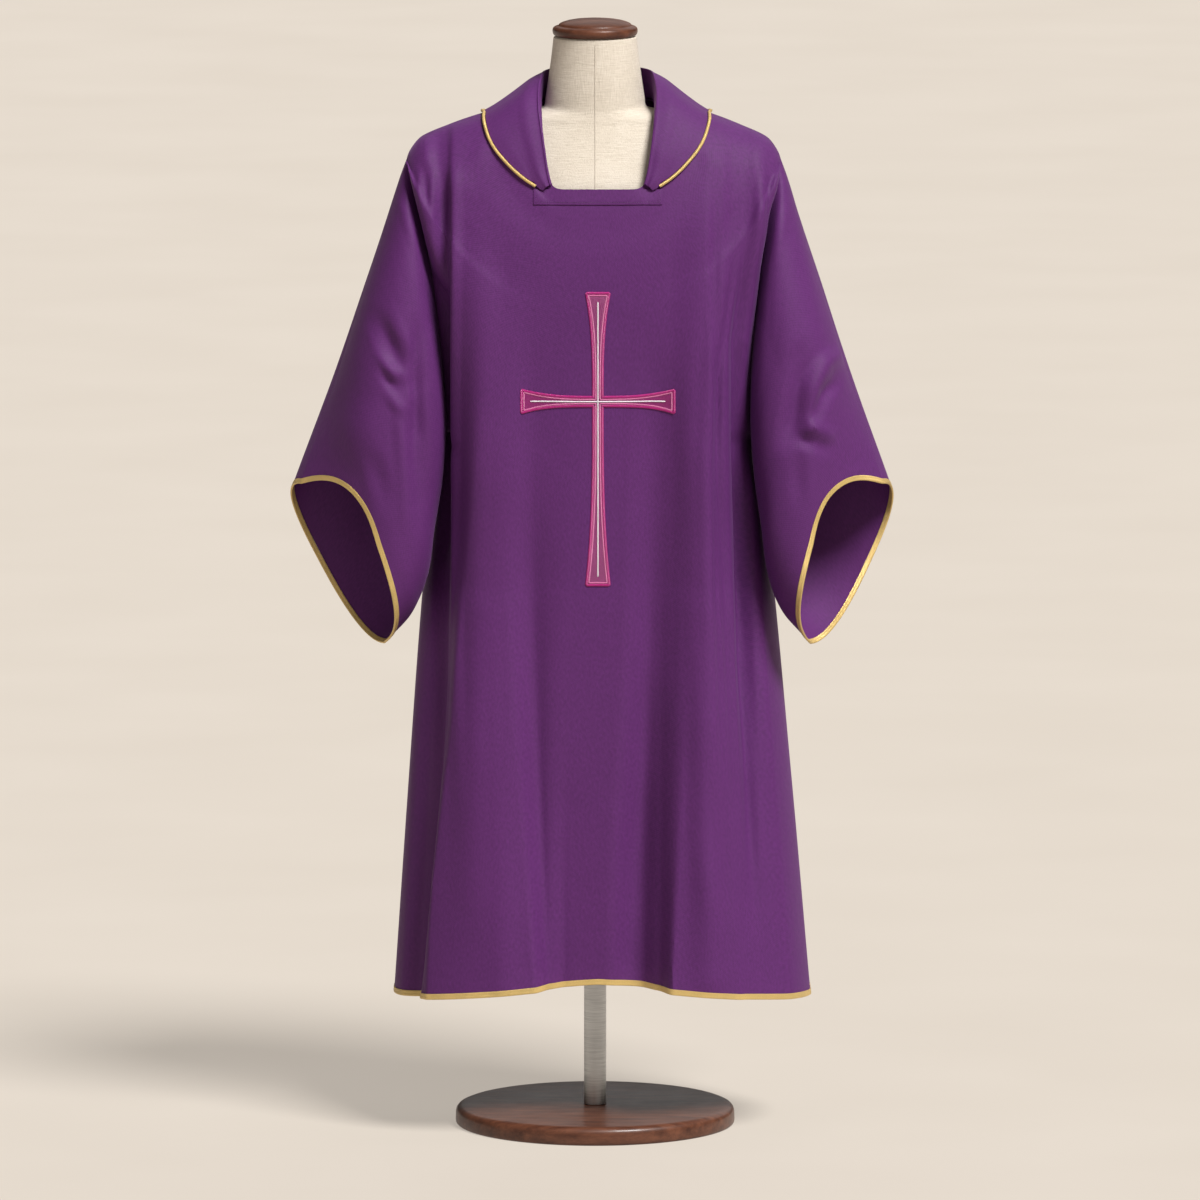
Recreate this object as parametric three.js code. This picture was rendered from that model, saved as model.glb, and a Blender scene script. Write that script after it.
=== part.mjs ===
// A dalmatic worn on a limbless dress form, in millimetres, +Z up, front towards -Y.
// The origin is on the floor under the cloth's middle line. The wearer's right is -X.
//
// The body is cut as a front and a back panel. Each panel is a grid of points: q runs across it from the
// right side line (-1) over the centre (0) to the left side line (1), and v runs down it in sections, from
// the neckline (0) to the hem (HEM). The side line is the shoulder seam down to the tip, then the armhole,
// then the side seam. Each sleeve is a tube of loops that starts on the armhole.
import * as THREE from "three";

// ---------------------------------------------------------------- driving sizes
const CLOTH = 1.6; // wall of a single layer of cloth
const SEAM = 0.5; // gap between two pieces at a seam
const RIGHT = -1;
const LEFT = 1;
const FRONT = -1;
const BACK = 1;

const TIP = 5; // section of the shoulder tip, where the armhole starts
const PIT = 10; // section of the armhole's lowest point
const HEM = 20; // section of the hem

// Steps of the panels' grids down each stretch of the side line, and across each panel.
const STEPS = { shoulder: 7, armhole: 12, skirt: 10, front: 46, back: 32 };

// Sections of the body: the side line's reach and height, then the centre line's depth and height in front
// and behind. square is the section's squareness (2 is an ellipse), and dip says how late the front climbs
// from the centre line to the side line.
const BODY = [
  { v: 0, side: 80, sideZ: 1468, front: 113, frontZ: 1360, back: 82, backZ: 1474, square: 6, dip: 14 },
  { v: 1, side: 124, sideZ: 1463, front: 119, frontZ: 1332, back: 100, backZ: 1458, square: 3.6, dip: 4.5 },
  { v: 2, side: 168, sideZ: 1453, front: 124, frontZ: 1300, back: 114, backZ: 1434, square: 3, dip: 3.2 },
  { v: 3, side: 213, sideZ: 1438, front: 129, frontZ: 1266, back: 126, backZ: 1398, square: 2.8, dip: 2.6 },
  { v: 4, side: 249, sideZ: 1423, front: 132, frontZ: 1230, back: 135, backZ: 1346, square: 2.7, dip: 2.4 },
  { v: 4.5, side: 262, sideZ: 1410, front: 133, frontZ: 1213, back: 138, backZ: 1318, square: 2.7, dip: 2.4 },
  { v: 5, side: 271, sideZ: 1392, front: 134, frontZ: 1196, back: 140, backZ: 1290, square: 2.8, dip: 2.4 },
  { v: 5.5, side: 272, sideZ: 1366, front: 134, frontZ: 1177, back: 141, backZ: 1262, square: 3.1, dip: 2.3 },
  { v: 7.5, side: 228, sideZ: 1190, front: 136, frontZ: 1096, back: 146, backZ: 1140, square: 4.2, dip: 2 },
  { v: 10, side: 219, sideZ: 1000, front: 138, frontZ: 995, back: 150, backZ: 1000, square: 4, dip: 2 },
  { v: 11.25, side: 229, sideZ: 900, front: 140, frontZ: 896, back: 153, backZ: 900, square: 3, dip: 2 },
  { v: 12.5, side: 245.5, sideZ: 800, front: 142, frontZ: 800, back: 156, backZ: 800, square: 2.6, dip: 2 },
  { v: 13, side: 251, sideZ: 757, front: 143, frontZ: 762, back: 158, backZ: 757, square: 2.6, dip: 2 },
  { v: 16, side: 266, sideZ: 508, front: 146, frontZ: 520, back: 166, backZ: 508, square: 2.5, dip: 2 },
  { v: 20, side: 283, sideZ: 199, front: 148, frontZ: 230, back: 176, backZ: 196, square: 2.3, dip: 1.2 },
];
const LEAN = { right: -9, left: 21, from: 12 }; // how far the hem swings sideways, from this section down
const SIDE_BACK = 30; // how far the side seam runs back under the sleeve
const ARMHOLE = { from: 0.45, sink: 34 }; // where across a panel its armhole starts to draw it, and how deep
// Each sleeve's top line: its share of the table's reach, and how far it is then moved out. tuck is the
// sleeve's share of the table's tuck.
const SPREAD = {
  right: { share: 0.955, out: 3.3, tuck: 1.4 },
  left: { share: 0.924, out: -7, tuck: 1 },
};

// Folds that hang from the shoulders. Each is a rise between two edges, read at three heights: the edges'
// reach across, how wide the slope is at each edge, and the rise.
const FOLD_Z = [1250, 800, 200];
const FRONT_FOLDS = [
  {
    name: "right lobe",
    from: [-165, -191, -247], to: [-118, -112, -77],
    soft: [40, 24, 18], fade: [60, 45, 24], rise: [0, 12, 30],
  },
  {
    name: "left lobe",
    from: [112, 110, 94], to: [230, 228, 285],
    soft: [50, 40, 18], fade: [60, 70, 80], rise: [0, 8, 32],
  },
  {
    name: "left crest",
    from: [125, 122, 130], to: [160, 168, 197],
    soft: [50, 36, 50], fade: [16, 16, 24], rise: [7, 11, 7],
  },
  {
    name: "left valley",
    from: [182, 192, 215], to: [218, 222, 250],
    soft: [22, 22, 26], fade: [22, 20, 26], rise: [-6, -13, -3],
  },
  {
    name: "middle recess",
    from: [-60, -60, -60], to: [90, 86, 76],
    soft: [40, 40, 26], fade: [40, 40, 26], rise: [0, -4, -16],
  },
  {
    name: "right valley",
    from: [-236, -246, -272], to: [-211, -216, -234],
    soft: [20, 20, 22], fade: [14, 16, 20], rise: [-7, -11, -9],
  },
];
const BACK_FOLDS = [
  {
    name: "right lobe",
    from: [-180, -192, -234], to: [-112, -110, -108],
    soft: [50, 34, 24], fade: [50, 34, 24], rise: [0, 10, 28],
  },
  {
    name: "right valley",
    from: [-96, -94, -90], to: [-66, -64, -62],
    soft: [26, 26, 22], fade: [26, 26, 22], rise: [0, -5, -12],
  },
  {
    name: "middle lobe",
    from: [-38, -48, -58], to: [42, 36, 48],
    soft: [34, 34, 24], fade: [34, 30, 24], rise: [0, 7, 24],
  },
  {
    name: "left valley",
    from: [74, 70, 66], to: [96, 96, 92],
    soft: [26, 26, 22], fade: [26, 26, 22], rise: [0, -6, -12],
  },
  {
    name: "left lobe",
    from: [112, 116, 120], to: [186, 194, 238],
    soft: [50, 34, 24], fade: [50, 38, 28], rise: [0, 11, 26],
  },
];

// Loops of the sleeve, for the wearer's left side; the right one is its mirror image. top and low are the
// loop's highest and lowest points, and ahead and behind say how far it bellies out to the front and back.
// late holds the belly's reach across back to its middle. lean and tuck move the front's upper and lower
// part towards the body.
const SLEEVE = [
  {
    s: 0, top: [271, 0, 1392], low: [219, 0, 1000], ahead: [-14, -54, 0], behind: [-20, 54, 0],
    square: 2.6, late: 3, lean: 0, tuck: 0,
  },
  {
    s: 0.06, top: [282, -1, 1364], low: [224.4, -4, 972], ahead: [-14, -90, 4], behind: [-8, 76, 0],
    square: 2.4, late: 2.4, lean: 0, tuck: 6,
  },
  {
    s: 0.2, top: [300, -4, 1310], low: [231.9, -14, 922], ahead: [-7, -105, 8], behind: [4, 88, 0],
    square: 2.3, late: 1.5, lean: 0, tuck: 10,
  },
  {
    s: 0.4, top: [330, -9, 1218], low: [240.4, -26, 856], ahead: [0, -108, 10], behind: [12, 90, 0],
    square: 2.3, late: 1, lean: 0, tuck: 9,
  },
  {
    s: 0.6, top: [362, -15, 1123], low: [249, -36, 794], ahead: [-6, -106, 12], behind: [20, 86, -2],
    square: 2.4, late: 1, lean: 1, tuck: 6,
  },
  {
    s: 0.8, top: [396, -23, 1026], low: [269, -42, 742], ahead: [-28, -100, 22], behind: [28, 82, -4],
    square: 2.5, late: 1, lean: 6, tuck: -3,
  },
  {
    s: 1, top: [431, -32, 928], low: [303, -44, 703], ahead: [-56, -92, 36], behind: [34, 80, -8],
    square: 2.6, late: 1, lean: 15, tuck: -11,
  },
];
// Creases on the sleeves' fronts: their ends' reach and height, their half width and their rise.
const SLEEVE_CREASES = [
  { hand: RIGHT, from: [-272, 1352], to: [-243, 1252], width: 16, rise: 5 },
  { hand: RIGHT, from: [-336, 1204], to: [-276, 1086], width: 22, rise: -7 },
  { hand: RIGHT, from: [-254, 1172], to: [-292, 1084], width: 20, rise: -5 },
  { hand: RIGHT, from: [-268, 1066], to: [-262, 930], width: 18, rise: -4 },
  { hand: RIGHT, from: [-330, 1060], to: [-352, 960], width: 24, rise: 5 },
  { hand: LEFT, from: [266, 1352], to: [242, 1250], width: 16, rise: 5 },
  { hand: LEFT, from: [350, 1150], to: [300, 1100], width: 20, rise: 5 },
  { hand: LEFT, from: [300, 1086], to: [264, 1010], width: 20, rise: -6 },
  { hand: LEFT, from: [346, 1056], to: [312, 962], width: 22, rise: -5 },
  { hand: LEFT, from: [282, 1034], to: [330, 980], width: 16, rise: 5 },
];
const PIT_REACH = SLEEVE[0].low[0];
const SLEEVE_RINGS = [0, 0.03, 0.08, 0.15, 0.24, 0.33, 0.42, 0.51, 0.6, 0.69, 0.78, 0.86, 0.93, 0.983];

// The dress form: sections from the hip to the neck's top.
const FORM = [
  { z: 812, half: 168, front: 104, back: 112, square: 2.3 },
  { z: 900, half: 160, front: 100, back: 104, square: 2.3 },
  { z: 1000, half: 152, front: 98, back: 96, square: 2.3 },
  { z: 1100, half: 162, front: 108, back: 104, square: 2.3 },
  { z: 1200, half: 176, front: 118, back: 116, square: 2.3 },
  { z: 1290, half: 192, front: 114, back: 122, square: 2.3 },
  { z: 1350, half: 207, front: 101, back: 117, square: 2.2 },
  { z: 1395, half: 214, front: 84, back: 104, square: 2.1 },
  { z: 1420, half: 210, front: 75, back: 92, square: 1.9 },
  { z: 1436, half: 201, front: 70, back: 84, square: 1.7 },
  { z: 1446, half: 180, front: 67, back: 79, square: 1.6 },
  { z: 1454, half: 148, front: 65, back: 75, square: 1.7 },
  { z: 1460, half: 108, front: 63, back: 71, square: 1.8 },
  { z: 1463, half: 81, front: 62.5, back: 69, square: 2 },
  { z: 1467, half: 73, front: 62, back: 68, square: 2 },
  { z: 1480, half: 70.5, front: 61, back: 66, square: 2 },
  { z: 1510, half: 66, front: 59.5, back: 63, square: 2 },
  { z: 1540, half: 62, front: 58, back: 60, square: 2 },
  { z: 1567, half: 59, front: 57, back: 59, square: 2 },
];
const FORM_AROUND = 20;
const FORM_X = -4; // the form stands a little to the right of the cloth's middle
const CAP = [
  { z: 1567.4, radius: 54 },
  { z: 1570, radius: 58.5 },
  { z: 1574, radius: 60.5 },
  { z: 1578, radius: 60 },
  { z: 1581, radius: 56.5 },
  { z: 1583, radius: 51 },
  { z: 1587, radius: 43 },
  { z: 1590.5, radius: 27 },
  { z: 1592, radius: 9 },
];
const POLE = { radius: 16, from: 26.4, to: 811.6 };
const BASE = [
  { z: 0, radius: 197 },
  { z: 3, radius: 200 },
  { z: 19, radius: 200 },
  { z: 24, radius: 196 },
  { z: 26, radius: 188 },
];

// The collar from its front end (a = 0) round to the centre back (a = 1). neck and edge are places on the
// panels: below 1 a front panel's q, above 1 two less the back panel's q. edgeV is the section that the
// collar's outer edge lies on, and roll is a point of its fold.
const COLLAR = [
  { a: 0, neck: 0.45, edge: 0.431, edgeV: 0.66, roll: [66, -113, 1368] },
  { a: 0.08, neck: 0.48, edge: 0.435, edgeV: 1.1, roll: [68.6, -109, 1380] },
  { a: 0.16, neck: 0.514, edge: 0.464, edgeV: 1.37, roll: [71.4, -104.4, 1394] },
  { a: 0.3, neck: 0.57, edge: 0.543, edgeV: 1.67, roll: [77, -92, 1430] },
  { a: 0.45, neck: 0.68, edge: 0.64, edgeV: 1.88, roll: [83, -64, 1471] },
  { a: 0.55, neck: 0.84, edge: 0.76, edgeV: 1.89, roll: [83, -32, 1496] },
  { a: 0.65, neck: 1, edge: 1, edgeV: 1.84, roll: [79, -2, 1511] },
  { a: 0.75, neck: 1.25, edge: 1.3, edgeV: 2, roll: [73, 34, 1515] },
  { a: 0.87, neck: 1.6, edge: 1.62, edgeV: 2.15, roll: [49, 68, 1516] },
  { a: 1, neck: 2, edge: 2, edgeV: 2.3, roll: [0, 84, 1517] },
];
const COLLAR_WALL = 2;
const ROLL = { inset: 0.5, under: 2, over: 2, drop: 1.5, out: 4.5, power: 1.5 }; // the rounding of its fold
const COLLAR_STEPS = 15; // from the front end to the centre back
const COLLAR_LIFT = 2.4; // clearance of the collar and its piping from the panels
const FOOT_LIFT = 3.2; // clearance of the stand's foot from the neckline
const LIFT = 0.95; // clearance of what lies flat on the front
const PIPING = { radius: 2.3, gap: 1.3, start: 0.06, steps: 22, sides: 5 };

const NECK_BAND = { half: 91, top: 1359.2, low: 1338.5, wall: 1.2, across: 14, down: 2 };
const CROSS = { wall: 1.4, top: 1216, centre: 1060, foot: 796, arm: 110, half: 8, flare: 10, step: 15 };
const HEM_BAND = { width: 8, wall: 3, gap: 0.4 };
const CUFF_BAND = { width: 7, wall: 3, gap: 0.6 };
const BAND_EDGE = { inset: 1.2, drop: 0.9 }; // the rounding of a binding's edge

// ---------------------------------------------------------------- small maths
const clamp = (x, low, high) => Math.min(high, Math.max(low, x));
const range = (n, f) => Array.from({ length: n }, (_, i) => f(i));

function ease(x) {
  const t = clamp(x, 0, 1);
  return t * t * (3 - 2 * t);
}

// A smooth curve through the values at these places.
function curve(places, values, x) {
  const last = places.length - 1;
  const t = clamp(x, places[0], places[last]);
  let i = 0;
  while (i < last - 1 && t > places[i + 1]) i++;
  const slope = (j) => {
    const lo = Math.max(0, j - 1);
    const hi = Math.min(last, j + 1);
    return (values[hi] - values[lo]) / (places[hi] - places[lo]);
  };
  const span = places[i + 1] - places[i];
  const u = (t - places[i]) / span;
  const rise = u * u * (3 - 2 * u);
  const leave = u * (1 - u) * (1 - u) * span * slope(i);
  const arrive = u * u * (u - 1) * span * slope(i + 1);
  return values[i] + (values[i + 1] - values[i]) * rise + leave + arrive;
}

// A column of a table, read at x on the table's first column.
function column(table, name, x) {
  const at = Object.keys(table[0])[0];
  return curve(table.map((row) => row[at]), table.map((row) => row[name]), x);
}

function columnPoint(table, name, x) {
  const at = Object.keys(table[0])[0];
  const places = table.map((row) => row[at]);
  return new THREE.Vector3(...[0, 1, 2].map((n) => curve(places, table.map((row) => row[name][n]), x)));
}

// Reach and depth on a squared ellipse: (1, 0) at the side and (0, 1) at the front or back.
function squircle(angle, square) {
  const c = Math.abs(Math.cos(angle));
  const s = Math.abs(Math.sin(angle));
  const k = (c ** square + s ** square) ** (-1 / square);
  return { reach: c * k, depth: s * k };
}

// ---------------------------------------------------------------- sleeve loops
const spreadOf = (hand) => (hand === LEFT ? SPREAD.left : SPREAD.right);

// A reach of the sleeve's top line in the table, as it is on this hand.
function spreadReach(hand, reach) {
  const { share, out } = spreadOf(hand);
  return PIT_REACH + (reach - PIT_REACH) * share + out;
}

// The point at angle phi on the loop at s: phi is 0 at the top, then goes round by the front.
function sleevePoint(hand, s, phi) {
  const top = columnPoint(SLEEVE, "top", s);
  top.x = spreadReach(hand, top.x);
  const low = columnPoint(SLEEVE, "low", s);
  const belly = columnPoint(SLEEVE, Math.sin(phi) >= 0 ? "ahead" : "behind", s);
  const { reach, depth } = squircle(phi, column(SLEEVE, "square", s));
  belly.x *= depth ** Math.max(0, column(SLEEVE, "late", s) - 1);
  const half = top.clone().sub(low).multiplyScalar(0.5 * reach * Math.sign(Math.cos(phi)));
  const slant = Math.sin(phi) > 0 ? Math.sin(2 * phi) : 0;
  let tuck = column(SLEEVE, "tuck", s);
  if (tuck > 0) tuck *= spreadOf(hand).tuck;
  half.x -= slant > 0 ? column(SLEEVE, "lean", s) * slant : -tuck * slant;
  const point = top.add(low).multiplyScalar(0.5).add(half).add(belly.multiplyScalar(depth));
  return point.multiply(new THREE.Vector3(hand, 1, 1));
}

// How far a crease between two ends lifts the cloth at this x and z.
function creaseHeight({ from, to, width, rise }, { x, z }) {
  const run = [to[0] - from[0], to[1] - from[1]];
  const along = ((x - from[0]) * run[0] + (z - from[1]) * run[1]) / (run[0] ** 2 + run[1] ** 2);
  const t = clamp(along, 0, 1);
  const away = Math.hypot(x - from[0] - run[0] * t, z - from[1] - run[1] * t);
  return rise * ease(1 - away / (1.8 * width));
}

function creasedSleevePoint(hand, s, phi) {
  const point = sleevePoint(hand, s, phi);
  if (Math.sin(phi) <= 0) return point;
  const step = 0.02;
  const across = sleevePoint(hand, s, phi + step).sub(sleevePoint(hand, s, phi - step));
  const after = sleevePoint(hand, Math.min(1, s + step), phi);
  const down = after.sub(sleevePoint(hand, Math.max(0, s - step), phi));
  const out = across.cross(down).multiplyScalar(hand).normalize();
  let height = 0;
  for (const crease of SLEEVE_CREASES) {
    if (crease.hand === hand) height += creaseHeight(crease, point);
  }
  return point.addScaledVector(out, height * ease(s / 0.12) * ease(Math.sin(phi) * 3));
}

// Outward from the armhole's loop, square to the wearer's left and right.
function armholeNormal(hand, phi) {
  const step = 1e-3;
  const along = sleevePoint(hand, 0, phi + step).sub(sleevePoint(hand, 0, phi - step));
  return new THREE.Vector3(0, along.z, -along.y).normalize();
}

// ---------------------------------------------------------------- body panels
// The side line: shoulder seam, armhole, side seam.
function sideLine(hand, face, v) {
  if (v > TIP && v < PIT) return sleevePoint(hand, 0, armholeAngle(face, v));
  return plainSide(hand, face, v);
}

// The side line as the middle of a panel feels it: past the armhole it runs on without a corner.
function plainSide(hand, face, v) {
  const down = clamp((v - PIT) / (HEM - PIT), 0, 1);
  const swing = Math.max(0, (v - LEAN.from) / (HEM - LEAN.from));
  const lean = (hand === LEFT ? LEAN.left : LEAN.right) * hand * swing;
  const hole = clamp((v - TIP) / (PIT - TIP), 0, 1);
  const sink = face * ARMHOLE.sink * Math.sin(Math.PI * hole) ** 2;
  const y = sink + SIDE_BACK * Math.sin(Math.PI * Math.min(1, 1.7 * down)) ** 2 + 6 * down;
  const tip = SLEEVE[0].top[0];
  const narrow = (tip - spreadReach(hand, tip)) * ease(v / TIP) * (1 - ease(hole));
  const x = hand * (column(BODY, "side", v) + lean - narrow);
  return new THREE.Vector3(x, y, column(BODY, "sideZ", v));
}

function armholeAngle(face, v) {
  return (-face * Math.PI * (v - TIP)) / (PIT - TIP);
}

function foldHeight(folds, { x, z }) {
  let height = 0;
  for (const fold of folds) {
    const at = (name) => curve(FOLD_Z.map((level) => -level), fold[name], -z);
    const rising = ease((x - at("from")) / at("soft") + 0.5);
    const falling = ease((at("to") - x) / at("fade") + 0.5);
    height += at("rise") * rising * falling;
  }
  return height;
}

// A point of the smooth panel, before its folds.
function basePoint(face, q, v) {
  const hand = q < 0 ? RIGHT : LEFT;
  const drawn = ease((Math.abs(q) - ARMHOLE.from) / (1 - ARMHOLE.from));
  const side = plainSide(hand, face, v).lerp(sideLine(hand, face, v), drawn);
  const centreY = face * column(BODY, face === FRONT ? "front" : "back", v);
  const centreZ = column(BODY, face === FRONT ? "frontZ" : "backZ", v);
  const { reach, depth } = squircle((1 - Math.abs(q)) * Math.PI * 0.5, column(BODY, "square", v));
  const climb = reach ** (face === FRONT ? column(BODY, "dip", v) : 2);
  return new THREE.Vector3(
    side.x * reach,
    side.y + (centreY - side.y) * depth,
    centreZ + (side.z - centreZ) * climb,
  );
}

// Outward from a panel's surface, where surface gives its point at q and v.
function outward(surface, face, q, v) {
  const across = surface(face, Math.min(1, q + 0.01), v).sub(surface(face, Math.max(-1, q - 0.01), v));
  const down = surface(face, q, Math.min(HEM, v + 0.1)).sub(surface(face, q, Math.max(0, v - 0.1)));
  return across.cross(down).multiplyScalar(face).normalize();
}

function panelPoint(face, q, v) {
  const point = basePoint(face, q, v);
  const free = ease((v - 1.5) / 3) * ease((1 - Math.abs(q)) / 0.2);
  const height = free * foldHeight(face === FRONT ? FRONT_FOLDS : BACK_FOLDS, point);
  return point.addScaledVector(outward(basePoint, face, q, v), height);
}

// ---------------------------------------------------------------- solids from grids
// Joins triangles into a body, and turns them outwards if they look inwards.
function solid(points, index) {
  let volume = 0;
  for (let i = 0; i < index.length; i += 3) {
    const [a, b, c] = [points[index[i]], points[index[i + 1]], points[index[i + 2]]];
    volume += a.dot(b.clone().cross(c));
  }
  if (volume < 0) index.reverse();
  const geometry = new THREE.BufferGeometry();
  geometry.setFromPoints(points);
  geometry.setIndex(index);
  return geometry;
}

// Outward from a grid of points, grid[i][j], i across and j down. hand turns the normal outwards, round
// joins the last column to the first, and edge may give the direction at a seam.
function gridNormal(grid, i, j, { hand = 1, round = false, edge = () => null }) {
  const given = edge(i, j);
  if (given) return given;
  const columns = grid.length;
  const at = (a, b) => {
    const column = round ? (a + columns) % columns : clamp(a, 0, columns - 1);
    return grid[column][clamp(b, 0, grid[0].length - 1)];
  };
  const across = at(i + 1, j).clone().sub(at(i - 1, j));
  const down = at(i, j + 1).clone().sub(at(i, j - 1));
  return across.cross(down).multiplyScalar(hand).normalize();
}

// A closed wall whose outer face is a grid. Its inner face lies one thickness inside.
function wall(grid, thickness, style = {}) {
  const columns = grid.length;
  const rows = grid[0].length;
  const round = style.round ?? false;
  const outer = grid.flat();
  const inner = outer.map((point, n) => {
    const normal = gridNormal(grid, Math.floor(n / rows), n % rows, style);
    return point.clone().addScaledVector(normal, -thickness);
  });
  const index = [];
  const quad = (a, b, c, d) => index.push(a, b, c, a, c, d);
  const id = (i, j) => (i % columns) * rows + j;
  const under = (i, j) => columns * rows + id(i, j);
  const spans = round ? columns : columns - 1;
  for (let i = 0; i < spans; i++) {
    for (let j = 0; j < rows - 1; j++) {
      quad(id(i, j), id(i + 1, j), id(i + 1, j + 1), id(i, j + 1));
      quad(under(i, j), under(i, j + 1), under(i + 1, j + 1), under(i + 1, j));
    }
    quad(id(i + 1, 0), id(i, 0), under(i, 0), under(i + 1, 0));
    quad(id(i, rows - 1), id(i + 1, rows - 1), under(i + 1, rows - 1), under(i, rows - 1));
  }
  for (let j = 0; !round && j < rows - 1; j++) {
    const e = columns - 1;
    quad(id(0, j), id(0, j + 1), under(0, j + 1), under(0, j));
    quad(id(e, j + 1), id(e, j), under(e, j), under(e, j + 1));
  }
  return solid([...outer, ...inner], index);
}

// A body through rings of points; open ends are closed by fans.
function loft(rings, round = false) {
  const size = rings[0].length;
  const id = (i, j) => (i % rings.length) * size + (j % size);
  const index = [];
  for (let i = 0; i < (round ? rings.length : rings.length - 1); i++) {
    for (let j = 0; j < size; j++) {
      index.push(id(i, j), id(i, j + 1), id(i + 1, j + 1), id(i, j), id(i + 1, j + 1), id(i + 1, j));
    }
  }
  const last = rings.length - 1;
  for (let j = 1; !round && j < size - 1; j++) {
    index.push(id(0, 0), id(0, j + 1), id(0, j), id(last, 0), id(last, j), id(last, j + 1));
  }
  return solid(rings.flat(), index);
}

// ---------------------------------------------------------------- the pieces
const COLOURS = {
  purple: { color: 0x5b2a6e, roughness: 0.85, metalness: 0 },
  gold: { color: 0xc9a24a, roughness: 0.5, metalness: 0.2 },
  magenta: { color: 0xb01a78, roughness: 0.6, metalness: 0 },
  linen: { color: 0xcfc0a8, roughness: 0.95, metalness: 0 },
  walnut: { color: 0x4a2416, roughness: 0.35, metalness: 0 },
  steel: { color: 0xa8a8a6, roughness: 0.35, metalness: 0.9 },
};

const dalmatic = new THREE.Group();

function add(name, geometry, finish) {
  const mesh = new THREE.Mesh(geometry, new THREE.MeshStandardMaterial(COLOURS[finish]));
  mesh.name = name;
  dalmatic.add(mesh);
}

const PANEL_ROWS = [
  ...range(STEPS.shoulder, (j) => (TIP * j) / STEPS.shoulder),
  ...range(STEPS.armhole, (j) => TIP + ((PIT - TIP) * j) / STEPS.armhole),
  ...range(STEPS.skirt + 1, (j) => PIT + ((HEM - PIT) * j) / STEPS.skirt),
];

// The panel's wall at a seam runs along the seam's own plane, so that the two pieces keep their gap.
function seamNormal(hand, face, v) {
  if (v === TIP) return new THREE.Vector3(0, 0, 1);
  if (v > TIP && v < PIT) return armholeNormal(hand, armholeAngle(face, v));
  if (v === PIT) return new THREE.Vector3(hand, 0, 0);
  const after = sideLine(hand, face, Math.min(HEM, v + 0.05));
  const along = after.sub(sideLine(hand, face, Math.max(0, v - 0.05)));
  return new THREE.Vector3(-hand * along.z, 0, hand * along.x).normalize();
}

// Points of a panel, drawn back from its seams by half their gap.
function panelGrid(face, across, rows) {
  return range(across + 1, (i) => {
    const q = -1 + (2 * i) / across;
    return rows.map((v) => {
      const point = panelPoint(face, q, v);
      if (Math.abs(q) < 1) return point;
      const atArmhole = v >= TIP && v <= PIT;
      return point.add(new THREE.Vector3((atArmhole ? -q * SEAM : 0) / 2, (face * SEAM) / 2, 0));
    });
  });
}

const PANELS = [
  { face: FRONT, across: STEPS.front },
  { face: BACK, across: STEPS.back },
].map(({ face, across }) => ({
  face,
  across,
  grid: panelGrid(face, across, PANEL_ROWS),
  style: {
    hand: face,
    edge: (i, j) => (i > 0 && i < across ? null : seamNormal(i === 0 ? RIGHT : LEFT, face, PANEL_ROWS[j])),
  },
}));
const panelOf = (face) => PANELS.find((panel) => panel.face === face);

// The point at q and v on a panel's own faces, so that what lies on it can follow them.
function onCloth(face, q, v) {
  const { across, grid } = panelOf(face);
  const i = clamp(Math.floor(((q + 1) / 2) * across), 0, across - 1);
  const j = clamp(PANEL_ROWS.findIndex((row) => row > v) - 1, 0, PANEL_ROWS.length - 2);
  const u = ((q + 1) / 2) * across - i;
  const w = (v - PANEL_ROWS[j]) / (PANEL_ROWS[j + 1] - PANEL_ROWS[j]);
  const [a, b, c, d] = [grid[i][j], grid[i + 1][j], grid[i + 1][j + 1], grid[i][j + 1]];
  const [side, far] = w <= u ? [b, c] : [d, c];
  const [first, second] = w <= u ? [u, w] : [w, u];
  return a.clone().addScaledVector(side.clone().sub(a), first).addScaledVector(far.clone().sub(side), second);
}

function lifted(face, q, v, lift) {
  return onCloth(face, q, v).addScaledVector(outward(panelPoint, face, q, v), lift);
}

for (const { face, grid, style } of PANELS) {
  add(face === FRONT ? "front_panel" : "back_panel", wall(grid, CLOTH, style), "purple");
}

// ---------------------------------------------------------------- sleeves
const SLEEVE_AROUND = 2 * STEPS.armhole;
const sleeveAngle = (i) => (2 * Math.PI * i) / SLEEVE_AROUND;

function sleeveGrid(hand, rings) {
  return range(SLEEVE_AROUND, (i) =>
    rings.map((s) => {
      const point = creasedSleevePoint(hand, s, sleeveAngle(i));
      if (s > 0) return point;
      return point.add(new THREE.Vector3((hand * SEAM) / 2, 0, 0));
    }),
  );
}

const SLEEVES = [RIGHT, LEFT].map((hand) => ({
  hand,
  grid: sleeveGrid(hand, SLEEVE_RINGS),
  style: {
    hand,
    round: true,
    edge: (i, j) => (j === 0 ? armholeNormal(hand, sleeveAngle(i)) : null),
  },
}));

for (const { hand, grid, style } of SLEEVES) {
  add(hand === RIGHT ? "sleeve_right" : "sleeve_left", wall(grid, CLOTH, style), "purple");
}

// ---------------------------------------------------------------- collar
// A point of the panels by its place round the body, its section and its clearance.
function aroundPanels(hand, place, v, lift) {
  const face = place <= 1 ? FRONT : BACK;
  const q = hand * (face === FRONT ? place : 2 - place);
  return lifted(face, q, v, lift);
}

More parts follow.
